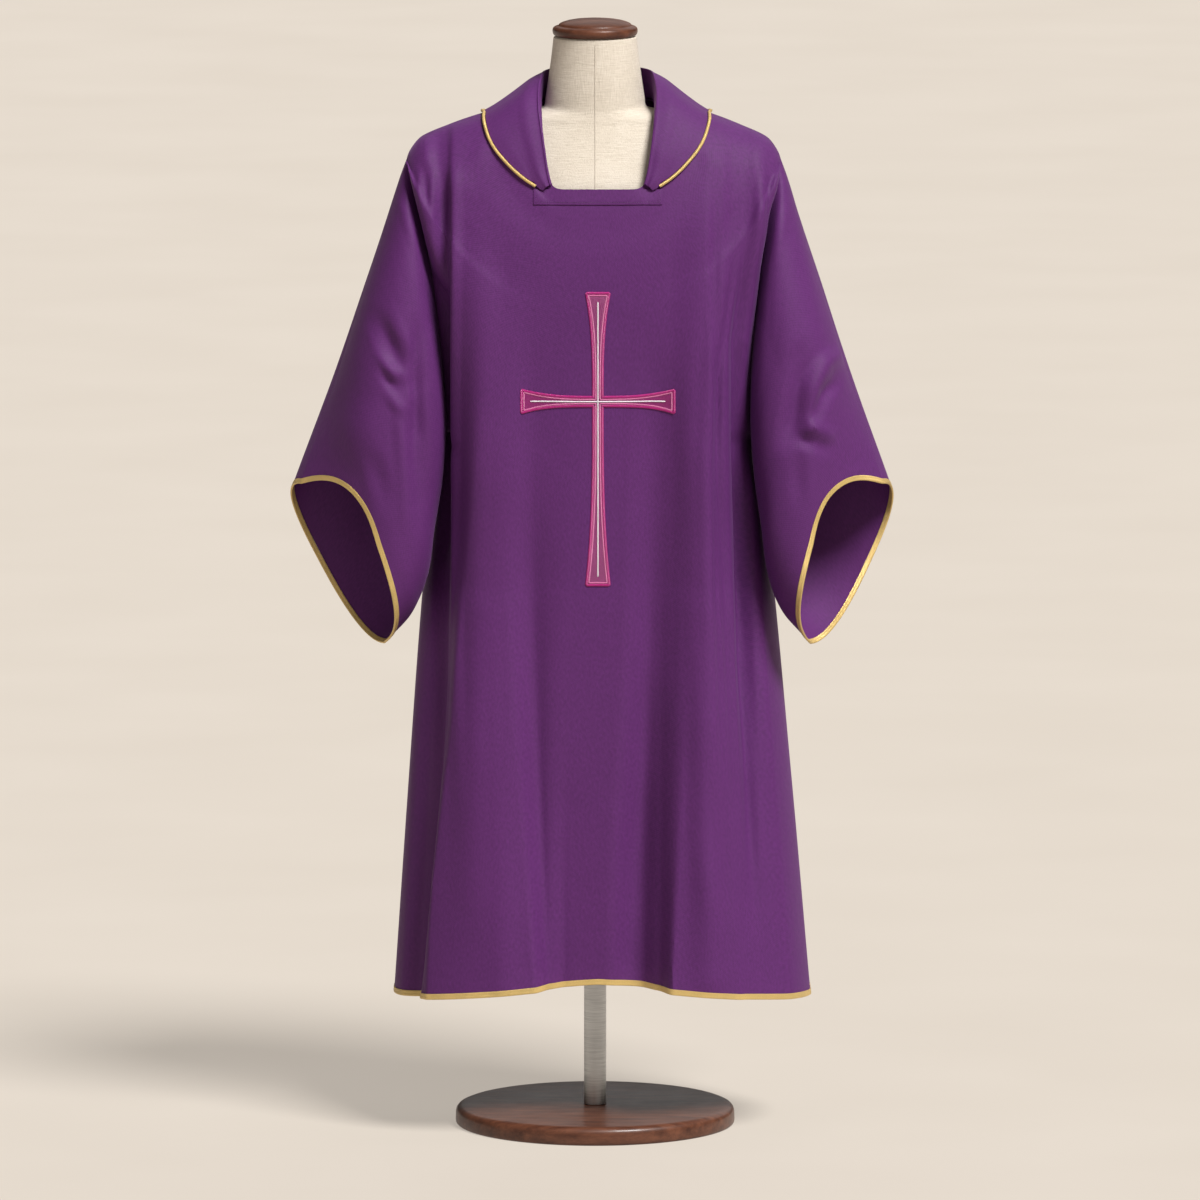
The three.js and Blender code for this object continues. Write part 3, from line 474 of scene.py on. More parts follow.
# ---- the garment's tables
BODY = table(
    "v side sideZ front frontZ back backZ square dip",
    (0, 80, 1468, 113, 1360, 82, 1474, 6, 14),
    (1, 124, 1463, 119, 1332, 100, 1458, 3.6, 4.5),
    (2, 168, 1453, 124, 1300, 114, 1434, 3, 3.2),
    (3, 213, 1438, 129, 1266, 126, 1398, 2.8, 2.6),
    (4, 249, 1423, 132, 1230, 135, 1346, 2.7, 2.4),
    (4.5, 262, 1410, 133, 1213, 138, 1318, 2.7, 2.4),
    (5, 271, 1392, 134, 1196, 140, 1290, 2.8, 2.4),
    (5.5, 272, 1366, 134.5, 1177, 141, 1262, 3.1, 2.3),
    (7.5, 228, 1190, 136, 1096, 146, 1140, 4.2, 2),
    (10, 219, 1000, 138, 995, 150, 1000, 4, 2),
    (11.25, 229, 900, 140, 896, 153, 900, 3, 2),
    (12.5, 245.5, 800, 142, 800, 156, 800, 2.6, 2),
    (13, 251, 757, 143, 762, 158, 757, 2.6, 2),
    (16, 266, 508, 146, 520, 166, 508, 2.5, 2),
    (20, 283, 199, 148, 230, 176, 196, 2.3, 1.2),
)
LEAN = {RIGHT: -9.0, LEFT: 21.0}  # how far each side of the hem swings towards +X
LEAN_FROM = 12
SIDE_BACK = 30.0  # how far back the side seam bows below the pit
ARMHOLE_FROM = 0.45
ARMHOLE_SINK = 34.0
SPREAD = {RIGHT: (0.955, 3.3), LEFT: (0.924, -7.0)}
TUCK = {RIGHT: 1.4, LEFT: 1.0}

# Each fold has its two edges' reach, the widths of the slopes there, and its rise, at three heights.
FOLD_Z = [1250, 800, 200]
FOLD_COLUMNS = ("left", "right", "soft", "fade", "rise")
FOLDS = {
    FRONT: [
        ((-165, -191, -247), (-118, -112, -77), (40, 24, 16), (60, 42, 20), (0, 12, 30)),
        ((112, 110, 94), (230, 228, 285), (50, 40, 15), (60, 70, 80), (0, 8, 32)),
        ((125, 122, 130), (160, 168, 197), (50, 36, 50), (16, 12, 20), (7, 11, 7)),
        ((182, 192, 215), (218, 222, 250), (22, 20, 26), (22, 18, 26), (-6, -13, -3)),
        ((-60, -60, -60), (90, 86, 76), (40, 40, 26), (40, 40, 26), (0, -4, -16)),
        ((-236, -246, -272), (-211, -216, -234), (20, 18, 20), (10, 13, 13), (-9, -12, -9)),
    ],
    BACK: [
        ((-180, -192, -234), (-112, -110, -108), (50, 34, 24), (50, 34, 24), (0, 10, 28)),
        ((-96, -94, -90), (-66, -64, -62), (26, 26, 22), (26, 26, 22), (0, -5, -12)),
        ((-38, -48, -58), (42, 36, 48), (34, 34, 24), (34, 30, 24), (0, 7, 24)),
        ((74, 70, 66), (96, 96, 92), (26, 26, 22), (26, 26, 22), (0, -6, -12)),
        ((112, 116, 120), (186, 194, 238), (50, 34, 24), (50, 38, 28), (0, 11, 26)),
    ],
}
SLEEVE = table(
    "s top low ahead behind square late lean tuck",
    (0, (271, 0, 1392), (219, 0, 1000), (-14, -54, 0), (-20, 54, 0), 2.6, 3, 0, 0),
    (0.06, (282, -1, 1364), (224.4, -4, 972), (-14, -90, 4), (-8, 76, 0), 2.4, 2.4, 0, 6),
    (0.2, (300, -4, 1310), (231.9, -14, 922), (-7, -105, 8), (4, 88, 0), 2.3, 1.5, 0, 10),
    (0.4, (330, -9, 1218), (240.4, -26, 856), (0, -108, 10), (12, 90, 0), 2.3, 1, 0, 9),
    (0.6, (362, -15, 1123), (249, -36, 794), (-6, -106, 12), (20, 86, -2), 2.4, 1, 1, 6),
    (0.8, (396, -23, 1026), (269, -42, 742), (-28, -100, 22), (28, 82, -4), 2.5, 1, 6, -3),
    (1, (431, -32, 928), (303, -44, 703), (-56, -92, 36), (34, 80, -8), 2.6, 1, 15, -11),
)
# Creases: half width, then the points they run through as reach, height and rise there.
SLEEVE_CREASES = {
    RIGHT: [
        (11, (-276, 1352, 0), (-262, 1310, 5), (-240, 1240, 0)),
        (6, (-262, 1330, 0), (-252, 1290, -3), (-244, 1250, 0)),
        (15, (-318, 1196, 0), (-294, 1140, -9), (-262, 1090, -3)),
        (11, (-306, 1200, 0), (-284, 1150, 4), (-258, 1096, 1)),
        (8, (-256, 1190, 0), (-258, 1120, -5), (-256, 1050, -7), (-252, 985, 0)),
        (13, (-266, 1060, 0), (-260, 1010, -6), (-256, 930, -4), (-258, 850, 0)),
        (10, (-282, 1076, 0), (-276, 1010, 4.5), (-270, 920, 3), (-268, 840, 0)),
        (22, (-330, 1070, 0), (-344, 1010, 5), (-352, 950, 0)),
        (7, (-318, 1130, 0), (-290, 1100, 5), (-262, 1094, 0)),
        (7, (-316, 1106, 0), (-292, 1082, -5), (-266, 1076, 0)),
        (7, (-306, 1076, 0), (-284, 1052, 4), (-264, 1040, 0)),
        (12, (-322, 1000, 0), (-310, 950, -3.5), (-298, 890, 0)),
        (7, (-240, 1230, 0), (-234, 1170, 2.5), (-230, 1110, 0)),
    ],
    LEFT: [
        (12, (264, 1352, 0), (252, 1300, 5), (240, 1240, 0)),
        (6, (252, 1330, 0), (246, 1290, -3), (240, 1240, 0)),
        (12, (356, 1116, 1), (326, 1112, 7), (304, 1084, 6), (292, 1040, 0)),
        (14, (312, 1140, 0), (288, 1086, -9), (276, 1030, -10), (264, 976, 0)),
        (9, (348, 1092, 0), (326, 1070, -7), (314, 1044, -4), (304, 1026, 0)),
        (8, (290, 1022, 0), (306, 1022, 7), (322, 1014, 5), (340, 996, 0)),
        (8, (272, 1010, 0), (294, 1003, -7), (318, 994, -4), (336, 978, 0)),
        (9, (300, 1150, 0), (282, 1122, -3), (262, 1080, 0)),
        (10, (286, 1000, 0), (284, 950, -3), (288, 890, 0)),
        (7, (236, 1240, 0), (233, 1180, 2.5), (230, 1110, 0)),
    ],
}
# How far the front of each sleeve leans in over the body lower down.
SLEEVE_LEAN_IN = {RIGHT: 5.0, LEFT: 13.0}


# ---- sleeve loops
def spread_reach(hand, reach):
    share, out = SPREAD[hand]
    return PIT_REACH + (reach - PIT_REACH) * share + out


def sleeve_point(hand, s, phi):
    s, phi = np.broadcast_arrays(np.asarray(s, float), np.asarray(phi, float))
    top = read(SLEEVE, "top", s)
    top[..., 0] = spread_reach(hand, top[..., 0])
    low = read(SLEEVE, "low", s)
    ahead = np.sin(phi) >= 0
    belly = np.where(ahead[..., None], read(SLEEVE, "ahead", s), read(SLEEVE, "behind", s))
    reach, depth = squircle(phi, read(SLEEVE, "square", s))
    belly[..., 0] *= depth ** np.maximum(0, read(SLEEVE, "late", s) - 1)
    half = (top - low) * (0.5 * reach * np.sign(np.cos(phi)))[..., None]
    slant = np.where(np.sin(phi) > 0, np.sin(2 * phi), 0)
    tuck = read(SLEEVE, "tuck", s)
    tuck = np.where(tuck > 0, tuck * TUCK[hand], tuck)
    half[..., 0] -= np.where(slant > 0, read(SLEEVE, "lean", s) * slant, -tuck * slant)
    point = (top + low) / 2 + half + belly * depth[..., None]
    return point * np.array([hand, 1, 1])


def crease_height(crease, x, z):
    """How far one crease raises the cloth at these places. It is a valley where its rise is below 0."""
    width, *points = crease
    height = np.zeros(np.broadcast(x, z).shape)
    for (x0, z0, rise0), (x1, z1, rise1) in zip(points, points[1:]):
        run = (x1 - x0, z1 - z0)
        t = np.clip(((x - x0) * run[0] + (z - z0) * run[1]) / (run[0] ** 2 + run[1] ** 2), 0, 1)
        away = np.hypot(x - x0 - run[0] * t, z - z0 - run[1] * t)
        here = (rise0 + (rise1 - rise0) * ease(t)) * ease(1 - away / (1.8 * width))
        height = np.where(np.abs(here) > np.abs(height), here, height)
    return height


def moved(crease, hand):
    """The like of a crease on the far side of the other sleeve, a little wider and lower."""
    width, *points = crease
    return width * 1.15, *((-x - hand * 0.05 * (1240 - z), z - 33, rise * 0.8) for x, z, rise in points)


def waves(x, z, seed):
    """Slow, uneven swells of the cloth, long down and short across, about a millimetre high."""
    total = 0
    for n in range(7):
        phase = 1.7 * n * n + seed
        across = 0.018 + 0.0085 * n
        down = 0.0028 + 0.0021 * ((n * 3) % 5)
        total = total + np.sin(x * across + z * down * (1 if n % 2 else -1) + phase) / (1.6 + 0.5 * n)
    return total * 0.75


def creased_sleeve_point(hand, s, phi):
    point = sleeve_point(hand, s, phi)
    inner = np.maximum(0, np.sin(phi)) * np.maximum(0, -np.sin(2 * phi))
    along_it = np.sin(math.pi * np.clip((s - 0.1) / 0.8, 0, 1)) ** 1.5
    point[..., 0] -= hand * SLEEVE_LEAN_IN[hand] * inner * along_it
    step = 0.02
    across = sleeve_point(hand, s, phi + step) - sleeve_point(hand, s, phi - step)
    low, high = np.maximum(0, s - step), np.minimum(1, s + step)
    down = sleeve_point(hand, high, phi) - sleeve_point(hand, low, phi)
    out = unit(np.cross(across, down) * hand)
    x, y, z = np.moveaxis(point, -1, 0)
    in_front, behind = ease(np.sin(phi) * 3), ease(-np.sin(phi) * 3)
    height = 0
    for crease in SLEEVE_CREASES[hand]:
        height = height + crease_height(crease, x, z) * in_front
    for crease in SLEEVE_CREASES[-hand]:
        height = height + crease_height(moved(crease, hand), x, z) * behind
    height = height + waves(x * 1.4 + y, z, 2.0 + hand) * 0.8
    return point + out * (height * ease(s / 0.12))[..., None]


def armhole_normal(hand, phi):
    step = 1e-3
    along = sleeve_point(hand, 0, phi + step) - sleeve_point(hand, 0, phi - step)
    return unit(points_of(0, along[..., 2], -along[..., 1]))


# ---- body panels
def armhole_angle(face, v):
    return -face * math.pi * (np.asarray(v, float) - TIP) / (PIT - TIP)


def plain_side(hand, face, v):
    """The side line as the middle of a panel feels it: past the armhole it runs on without a corner."""
    v = np.asarray(v, float)
    down = np.clip((v - PIT) / (HEM - PIT), 0, 1)
    swing = np.maximum(0, (v - LEAN_FROM) / (HEM - LEAN_FROM))
    hole = np.clip((v - TIP) / (PIT - TIP), 0, 1)
    sink = face * ARMHOLE_SINK * np.sin(math.pi * hole) ** 2
    y = sink + SIDE_BACK * np.sin(math.pi * np.minimum(1, 1.7 * down)) ** 2 + 6 * down
    tip = SLEEVE["top"][0, 0]
    narrow = (tip - spread_reach(hand, tip)) * ease(v / TIP) * (1 - ease(hole))
    x = hand * (read(BODY, "side", v) + LEAN[hand] * hand * swing - narrow)
    return points_of(x, y, read(BODY, "sideZ", v))


def side_line(hand, face, v):
    v = np.asarray(v, float)
    line = plain_side(hand, face, v)
    armhole = sleeve_point(hand, np.zeros_like(v), armhole_angle(face, v))
    return np.where(((v > TIP) & (v < PIT))[..., None], armhole, line)


def fold_height(folds, x, z):
    height = 0
    levels = [-level for level in FOLD_Z]
    for fold in folds:
        at = {name: curve(levels, values, -z) for name, values in zip(FOLD_COLUMNS, fold)}
        rising = ease((x - at["left"]) / at["soft"] + 0.5)
        falling = ease((at["right"] - x) / at["fade"] + 0.5)
        height = height + at["rise"] * rising * falling
    return height


def base_point(face, q, v):
    q, v = np.broadcast_arrays(np.asarray(q, float), np.asarray(v, float))
    drawn = ease((np.abs(q) - ARMHOLE_FROM) / (1 - ARMHOLE_FROM))[..., None]
    sides = []
    for hand in (RIGHT, LEFT):
        plain = plain_side(hand, face, v)
        sides.append(plain + (side_line(hand, face, v) - plain) * drawn)
    side = np.where((q < 0)[..., None], *sides)
    centre_y = face * read(BODY, "front" if face == FRONT else "back", v)
    centre_z = read(BODY, "frontZ" if face == FRONT else "backZ", v)
    reach, depth = squircle((1 - np.abs(q)) * math.pi * 0.5, read(BODY, "square", v))
    climb = reach ** (read(BODY, "dip", v) if face == FRONT else 2)
    x = side[..., 0] * reach
    y = side[..., 1] + (centre_y - side[..., 1]) * depth
    z = centre_z + (side[..., 2] - centre_z) * climb
    return points_of(x, y, z)


def outward(surface, face, q, v):
    across = surface(face, np.minimum(1, q + 0.01), v) - surface(face, np.maximum(-1, q - 0.01), v)
    down = surface(face, q, np.minimum(HEM, v + 0.1)) - surface(face, q, np.maximum(0, v - 0.1))
    return unit(np.cross(across, down) * face)


def panel_point(face, q, v):
    point = base_point(face, q, v)
    free = ease((v - 1.5) / 3) * ease((1 - np.abs(q)) / 0.2)
    height = free * fold_height(FOLDS[face], point[..., 0], point[..., 2])
    return point + outward(base_point, face, q, v) * height[..., None]


PANEL_CREASES = {
    FRONT: [
        (9, (-204, 1402, 0), (-205, 1360, 4.5), (-206, 1000, 4), (-202, 760, 4), (-196, 420, 0)),
        (9, (-216, 1388, 0), (-219, 1330, -8), (-220, 1150, -15), (-220, 900, -15), (-222, 700, -8),
             (-224, 480, 0)),
        (8, (-233, 1402, 0), (-232, 1350, 4), (-230, 1290, 0)),
        (6, (-246, 1398, 0), (-245, 1360, -4), (-242, 1310, 0)),
        (5, (-255, 1394, 0), (-252, 1360, 2.5), (-247, 1312, 0)),
        (14, (-196, 1415, 0), (-193, 1370, 2), (-190, 1330, 0)),
        (12, (-150, 1440, 0), (-164, 1410, 2.5), (-180, 1370, 0)),
        (22, (-166, 1340, 0), (-170, 1200, 5), (-171, 920, 8), (-172, 640, 6), (-178, 400, 3),
             (-184, 250, 0)),
        (7, (232, 1404, 0), (230, 1340, 4), (228, 1240, 0)),
        (9, (222, 1370, 0), (198, 1140, -12), (206, 870, -18), (209, 690, -17), (216, 500, -9),
             (222, 260, 0)),
        (6, (247, 1394, 0), (244, 1350, -3), (240, 1290, 0)),
        (5, (256, 1388, 0), (252, 1350, 2), (247, 1310, 0)),
        (5, (206, 1330, 0), (186, 1200, -3), (172, 1100, -4), (166, 970, -4.5), (168, 800, -4.5),
             (175, 600, -3), (184, 400, 0)),
        (9, (190, 1330, 0), (172, 1200, 2.5), (158, 1100, 3.5), (152, 970, 4), (154, 800, 4),
             (162, 600, 2), (176, 400, 0)),
        (12, (142, 1436, 0), (156, 1406, 2), (174, 1370, 0)),
        (9, (-218, 1004, 0), (-206, 990, -2), (-186, 970, 0)),
        (9, (218, 1004, 0), (204, 992, -2), (184, 978, 0)),
        (30, (-84, 1240, 0), (-90, 1000, -6), (-96, 760, -11), (-96, 480, -14), (-92, 250, -10),
             (-92, 180, -6)),
        (24, (90, 1180, 0), (84, 990, -7), (76, 700, -13), (69, 560, -16), (60, 417, -18),
             (54, 260, -15), (54, 180, -9)),
        (24, (-120, 760, 0), (-116, 560, 3), (-112, 340, 0)),
        (18, (146, 1100, 0), (150, 800, 6), (154, 560, 9), (158, 400, 9), (160, 240, 3)),
        (20, (150, 600, 0), (170, 430, -4), (190, 290, 0)),
    ],
    BACK: [
        (11, (-214, 1390, 0), (-210, 1300, 5), (-206, 1080, 4), (-206, 900, 0)),
        (12, (-196, 1370, 0), (-192, 1250, -6), (-190, 1060, -5), (-192, 860, 0)),
        (7, (-244, 1392, 0), (-240, 1350, 3), (-236, 1300, 0)),
        (11, (204, 1392, 0), (203, 1280, 5), (202, 1080, 4), (204, 920, 0)),
        (12, (186, 1380, 0), (183, 1240, -6), (180, 1060, -5), (184, 880, 0)),
        (7, (240, 1390, 0), (238, 1350, -3), (236, 1290, 0)),
        (16, (-70, 1440, 0), (-98, 1390, 2.5), (-130, 1325, 0)),
        (16, (64, 1444, 0), (92, 1396, -2.5), (122, 1334, 0)),
        (24, (-20, 1400, 0), (-26, 1280, 2.5), (-36, 1130, 0)),
        (20, (-150, 680, 0), (-160, 480, -4), (-170, 300, 0)),
        (18, (20, 640, 0), (17, 460, 3), (14, 280, 0)),
        (22, (140, 680, 0), (150, 500, -4), (162, 310, 0)),
    ],
}


def dressed_point(face, q, v):
    """The panel with its creases and slow swells as well."""
    point = panel_point(face, q, v)
    x, z = point[..., 0], point[..., 2]
    height = ease((v - 1) / 3) * ease((1 - np.abs(q)) / 0.15) * waves(x, z, 0.4 if face == FRONT else 3.1)
    near = ease((v - 1.2) / 1.5) * ease((1 - np.abs(q)) / 0.12)
    for crease in PANEL_CREASES[face]:
        height = height + near * crease_height(crease, x, z)
    return point + outward(base_point, face, q, v) * height[..., None]


PURPLE_CLOTH = cloth_material("purple_twill", PURPLE)
GOLD_BRAID = thread_material("gold_braid", GOLD, 1.1e-3, metallic=0.35, rough=0.42, dark=0.5)

ROWS = np.concatenate(
    [np.linspace(0, TIP, 51)[:-1], np.linspace(TIP, PIT, 81)[:-1], np.linspace(PIT, HEM, 101)]
)
PANEL_COLUMNS = {FRONT: 260, BACK: 180}
SLEEVE_SIDES = 160
SEAM = 0.12  # the gap between two pieces at a seam


def seam_normal(hand, face, v):
    after = side_line(hand, face, np.minimum(HEM, v + 0.05))
    along = after - side_line(hand, face, np.maximum(0, v - 0.05))
    plain = unit(points_of(-hand * along[..., 2], 0, hand * along[..., 0]))
    armhole = armhole_normal(hand, armhole_angle(face, v))
    normal = np.where(((v > TIP) & (v < PIT))[..., None], armhole, plain)
    normal[v == TIP] = (0, 0, 1)
    normal[v == PIT] = (hand, 0, 0)
    return normal


def panel(name, face):
    q = np.linspace(-1, 1, PANEL_COLUMNS[face] + 1)[:, None]
    grid = dressed_point(face, q, ROWS[None, :])
    armhole = (ROWS >= TIP) & (ROWS <= PIT)
    for column, hand in ((0, RIGHT), (-1, LEFT)):
        grid[column, :, 0] -= np.where(armhole, hand * SEAM / 2, 0)
        grid[column, :, 1] += face * SEAM / 2
    normals = grid_normals(grid, face)
    normals[0] = seam_normal(RIGHT, face, ROWS)
    normals[-1] = seam_normal(LEFT, face, ROWS)
    thing = shell(name, grid, CLOTH, PURPLE_CLOTH, face, normals=normals)
    return thing, grid, normals


front_panel, front_grid, front_normals = panel("front_cloth", FRONT)
back_panel, back_grid, back_normals = panel("back_cloth", BACK)


def sleeve(name, hand):
    rings = np.concatenate([np.linspace(0, 0.15, 19)[:-1], np.linspace(0.15, 0.983, 84)])
    phi = circle(SLEEVE_SIDES)
    grid = creased_sleeve_point(hand, rings[None, :], phi[:, None])
    grid[:, 0, 0] += hand * SEAM / 2
    normals = grid_normals(grid, hand, True)
    normals[:, 0] = armhole_normal(hand, phi)
    thing = shell(name, grid, CLOTH, PURPLE_CLOTH, hand, True, normals)
    return thing, grid, normals


sleeve_right, right_grid, right_normals = sleeve("sleeve_cloth_right", RIGHT)
sleeve_left, left_grid, left_normals = sleeve("sleeve_cloth_left", LEFT)


# ---- edgings
BRAID = 3.0  # through the braid, from face to face


def binding(name, grid, normals, width, round_it):
    """Braid over the edge of a cloth: two rounded cords side by side, the same on both faces."""
    proud = (BRAID - CLOTH) / 2
    inside = proud - BRAID
    across = np.linspace(0, 1, 9)
    hump = 0.28 * np.abs(np.sin(across * 2 * math.pi)) - 0.1
    ahead = 0.1 + across * (width - 0.6)
    outer = points_of(ahead, proud + hump)
    nose = np.array([[width, proud - 0.8], [width + 0.1, (proud + inside) / 2], [width, inside + 0.8]])
    inner = points_of(ahead[::-1], inside - hump[::-1])
    shape = np.concatenate([outer, nose, inner])
    rim, before = grid[:, -1], grid[:, -2]
    out = normals[:, -1]
    past = rim - before
    if round_it:
        beside = np.roll(rim, -1, 0) - np.roll(rim, 1, 0)
    else:
        beside = np.gradient(rim, axis=0)
    on = np.cross(out, beside)
    if not round_it:
        on[0], on[-1] = past[0], past[-1]
    on *= np.sign(np.einsum("ij,ij->i", on, past))[:, None]
    on -= out * np.einsum("ij,ij->i", on, out)[:, None]
    on = unit(on)
    rings = rim[:, None] + on[:, None] * shape[None, :, :1] + out[:, None] * shape[None, :, 1:]
    return tube(name, rings, GOLD_BRAID, round_it)


HEM_BRAID, CUFF_BRAID = 8.4, 7.4  # widths
hem_front = binding("hem_braid_front", front_grid, front_normals, HEM_BRAID, False)
hem_back = binding("hem_braid_back", back_grid, back_normals, HEM_BRAID, False)
cuff_right = binding("cuff_braid_right", right_grid, right_normals, CUFF_BRAID, True)
cuff_left = binding("cuff_braid_left", left_grid, left_normals, CUFF_BRAID, True)

# ---- collar
COLLAR = table(
    "a neck edge edgeV roll",
    (0, 0.45, 0.431, 0.66, (66, -113, 1368)),
    (0.08, 0.48, 0.435, 1.1, (68.6, -109, 1380)),
    (0.16, 0.514, 0.464, 1.37, (71.4, -104.4, 1394)),
    (0.3, 0.57, 0.543, 1.67, (77, -92, 1430)),
    (0.45, 0.68, 0.64, 1.88, (83, -64, 1471)),
    (0.55, 0.84, 0.76, 1.89, (83, -32, 1496)),
    (0.65, 1, 1, 1.84, (79, -2, 1511)),
    (0.75, 1.25, 1.3, 2, (73, 34, 1515)),
    (0.87, 1.6, 1.62, 2.15, (49, 68, 1516)),
    (1, 2, 2, 2.3, (0, 84, 1517)),
)
COLLAR_WALL = 2.0
COLLAR_STEPS = 22  # sections from each front end to the centre back
COLLAR_COLUMNS, COLLAR_ROWS = 177, 46
COLLAR_LIFT = 1.3  # from the panels up to the fall
FOOT_LIFT = 2.2
PIPING = 2.3  # radius
PIPING_START = 0.055


def around_panels(hand, place, v, lift):
    """Points over the panels: place goes round the body from the front's middle, 0, to the back's, 2."""
    hand, place, v = np.broadcast_arrays(np.asarray(hand, float), place, v)
    found = {}
    for face in (FRONT, BACK):
        q = np.clip(hand * (place if face == FRONT else 2 - place), -1, 1)
        found[face] = panel_point(face, q, v) + outward(panel_point, face, q, v) * lift
    return np.where((place <= 1)[..., None], found[FRONT], found[BACK])


def piping_path(hand, a):
    def middle(b):
        return around_panels(hand, read(COLLAR, "edge", b), read(COLLAR, "edgeV", b), PIPING + COLLAR_LIFT)

    place, v = read(COLLAR, "edge", a), read(COLLAR, "edgeV", a)
    along = unit(middle(np.minimum(1, a + 0.01)) - middle(np.maximum(0, a - 0.01)))
    sideways = points_of(-hand, 0, 0)
    along = np.where((a >= 1)[:, None], sideways, along)
    up = around_panels(hand, place, v, 1) - around_panels(hand, place, v, 0)
    inward = unit(np.cross(up, along) * hand[:, None])
    return middle(a), along, inward


def collar_grid_points(hand, a):
    """The collar's sections, one for each a: up the stand, over the roll and down the fall to the cord."""
    neck_place, edge_place, edge_v = (read(COLLAR, name, a) for name in ("neck", "edge", "edgeV"))
    neck = around_panels(hand, neck_place, 0, 0)
    edge = around_panels(hand, edge_place, edge_v, 0)
    foot_way = unit(neck - around_panels(hand, neck_place, 0.4, 0))
    roll = read(COLLAR, "roll", a)
    roll[:, 0] *= hand
    stand = roll - neck
    up, out = unit(stand), unit(edge - neck)
    foot = around_panels(hand, neck_place, 0, FOOT_LIFT) + 0.5 * foot_way
    points = [foot, (neck + roll) / 2 - 0.5 * out, roll - 2 * up - 0.5 * out]
    points += [roll + 2 * out, roll - 1.5 * up + 4.5 * out]
    rim_gap = PIPING + 0.6
    reach = np.linalg.norm(edge - neck, axis=-1)
    for part in (0.2, 0.4, 0.6, 0.8):
        t = part * (1 - rim_gap / reach)
        place = neck_place + (edge_place - neck_place) * t
        point = around_panels(hand, place, edge_v * t, COLLAR_WALL + COLLAR_LIFT)
        points.append(point + stand * ((1 - t) ** 1.5)[:, None] + out * (4.5 * (1 - t))[:, None])
    rim = around_panels(hand, edge_place, edge_v, COLLAR_WALL + COLLAR_LIFT)
    points.append(rim + piping_path(hand, a)[2] * rim_gap)
    return np.stack(points, 1)


def around_neck(steps):
    """Hands and places from the right front end round the back to the left front end."""
    n = np.arange(2 * steps + 1)
    return np.where(n < steps, RIGHT, LEFT).astype(float), np.where(n < steps, n / steps, 2 - n / steps)


collar_grid = collar_grid_points(*around_neck(COLLAR_STEPS))


def resampled(grid, axis, count):
    """A grid drawn through the same points by smooth curves, with more of them along one axis."""
    places = np.arange(grid.shape[axis])
    dense = np.linspace(0, places[-1], count)
    lines = np.moveaxis(grid, axis, 0)
    flat = lines.reshape(len(places), -1)
    drawn = points_of(*(curve(places, flat[:, n], dense) for n in range(flat.shape[1])))
    return np.moveaxis(drawn.reshape(count, *lines.shape[1:]), 0, axis)


collar_grid = resampled(resampled(collar_grid, 1, COLLAR_ROWS), 0, COLLAR_COLUMNS)
collar_normals = grid_normals(collar_grid)
collar = shell("collar_cloth", collar_grid, COLLAR_WALL * 0.85, PURPLE_CLOTH, normals=collar_normals)


def piping_rings(steps=70, sides=12):
    hand, part = around_neck(steps)
    middle, along, inward = piping_path(hand, PIPING_START + (1 - PIPING_START) * part)
    other = np.cross(along, inward) * hand[:, None]
    angle = circle(sides)[:, None]
    spokes = np.cos(angle) * inward[:, None] + np.sin(angle) * other[:, None]
    return middle[:, None] + PIPING * spokes


piping = tube("collar_cord", piping_rings(), GOLD_BRAID)


# ---- pieces laid on the front
def front_at(q, v):
    """A point of the front's own mesh, read between its grid points."""
    columns = front_grid.shape[0] - 1
    u = (np.clip(q, -1, 1) + 1) / 2 * columns
    w = np.interp(v, ROWS, np.arange(len(ROWS)))
    i = np.clip(u.astype(int), 0, columns - 1)
    j = np.clip(w.astype(int), 0, len(ROWS) - 2)
    u, w = (u - i)[..., None], (w - j)[..., None]
    upper = front_grid[i, j] * (1 - u) + front_grid[i + 1, j] * u
    lower = front_grid[i, j + 1] * (1 - u) + front_grid[i + 1, j + 1] * u
    return upper * (1 - w) + lower * w


SEARCH_ROUNDS = 24
SEARCH_SHARE = 0.8


def on_front(x, z, lift):
    """The point of the dressed front that has this x and this height, moved out by lift."""
    x, z = np.broadcast_arrays(np.asarray(x, float), np.asarray(z, float))
    q = x / 300
    v = curve([-1360, -1196, -995, -230], [0, TIP, PIT, HEM], -z)
    step = 0.02
    for _ in range(SEARCH_ROUNDS):
        here = front_at(q, v)
        by_q = (front_at(q + step, v) - front_at(q - step, v)) / (2 * step)
        by_v = (front_at(q, v + step) - front_at(q, v - step)) / (2 * step)
        area = by_q[..., 0] * by_v[..., 2] - by_v[..., 0] * by_q[..., 2]
        dx, dz = x - here[..., 0], z - here[..., 2]
        q = q + SEARCH_SHARE * (dx * by_v[..., 2] - dz * by_v[..., 0]) / area
        v = v + SEARCH_SHARE * (dz * by_q[..., 0] - dx * by_q[..., 2]) / area
        v = np.clip(v, step, HEM - step)
    across = front_at(q + step, v) - front_at(q - step, v)
    down = front_at(q, v + 3 * step) - front_at(q, np.maximum(0, v - 3 * step))
    lift = np.broadcast_to(lift, x.shape)
    return front_at(q, v) + unit(np.cross(across, down) * FRONT) * lift[..., None]


NECK_BAND = dict(half=91, top=1359.2, low=1338.5, wall=1.1)
STITCH_INSET = 3.2  # from the band's edges in to its stitching
STITCH_RINGS = STITCH_SIDES = 6


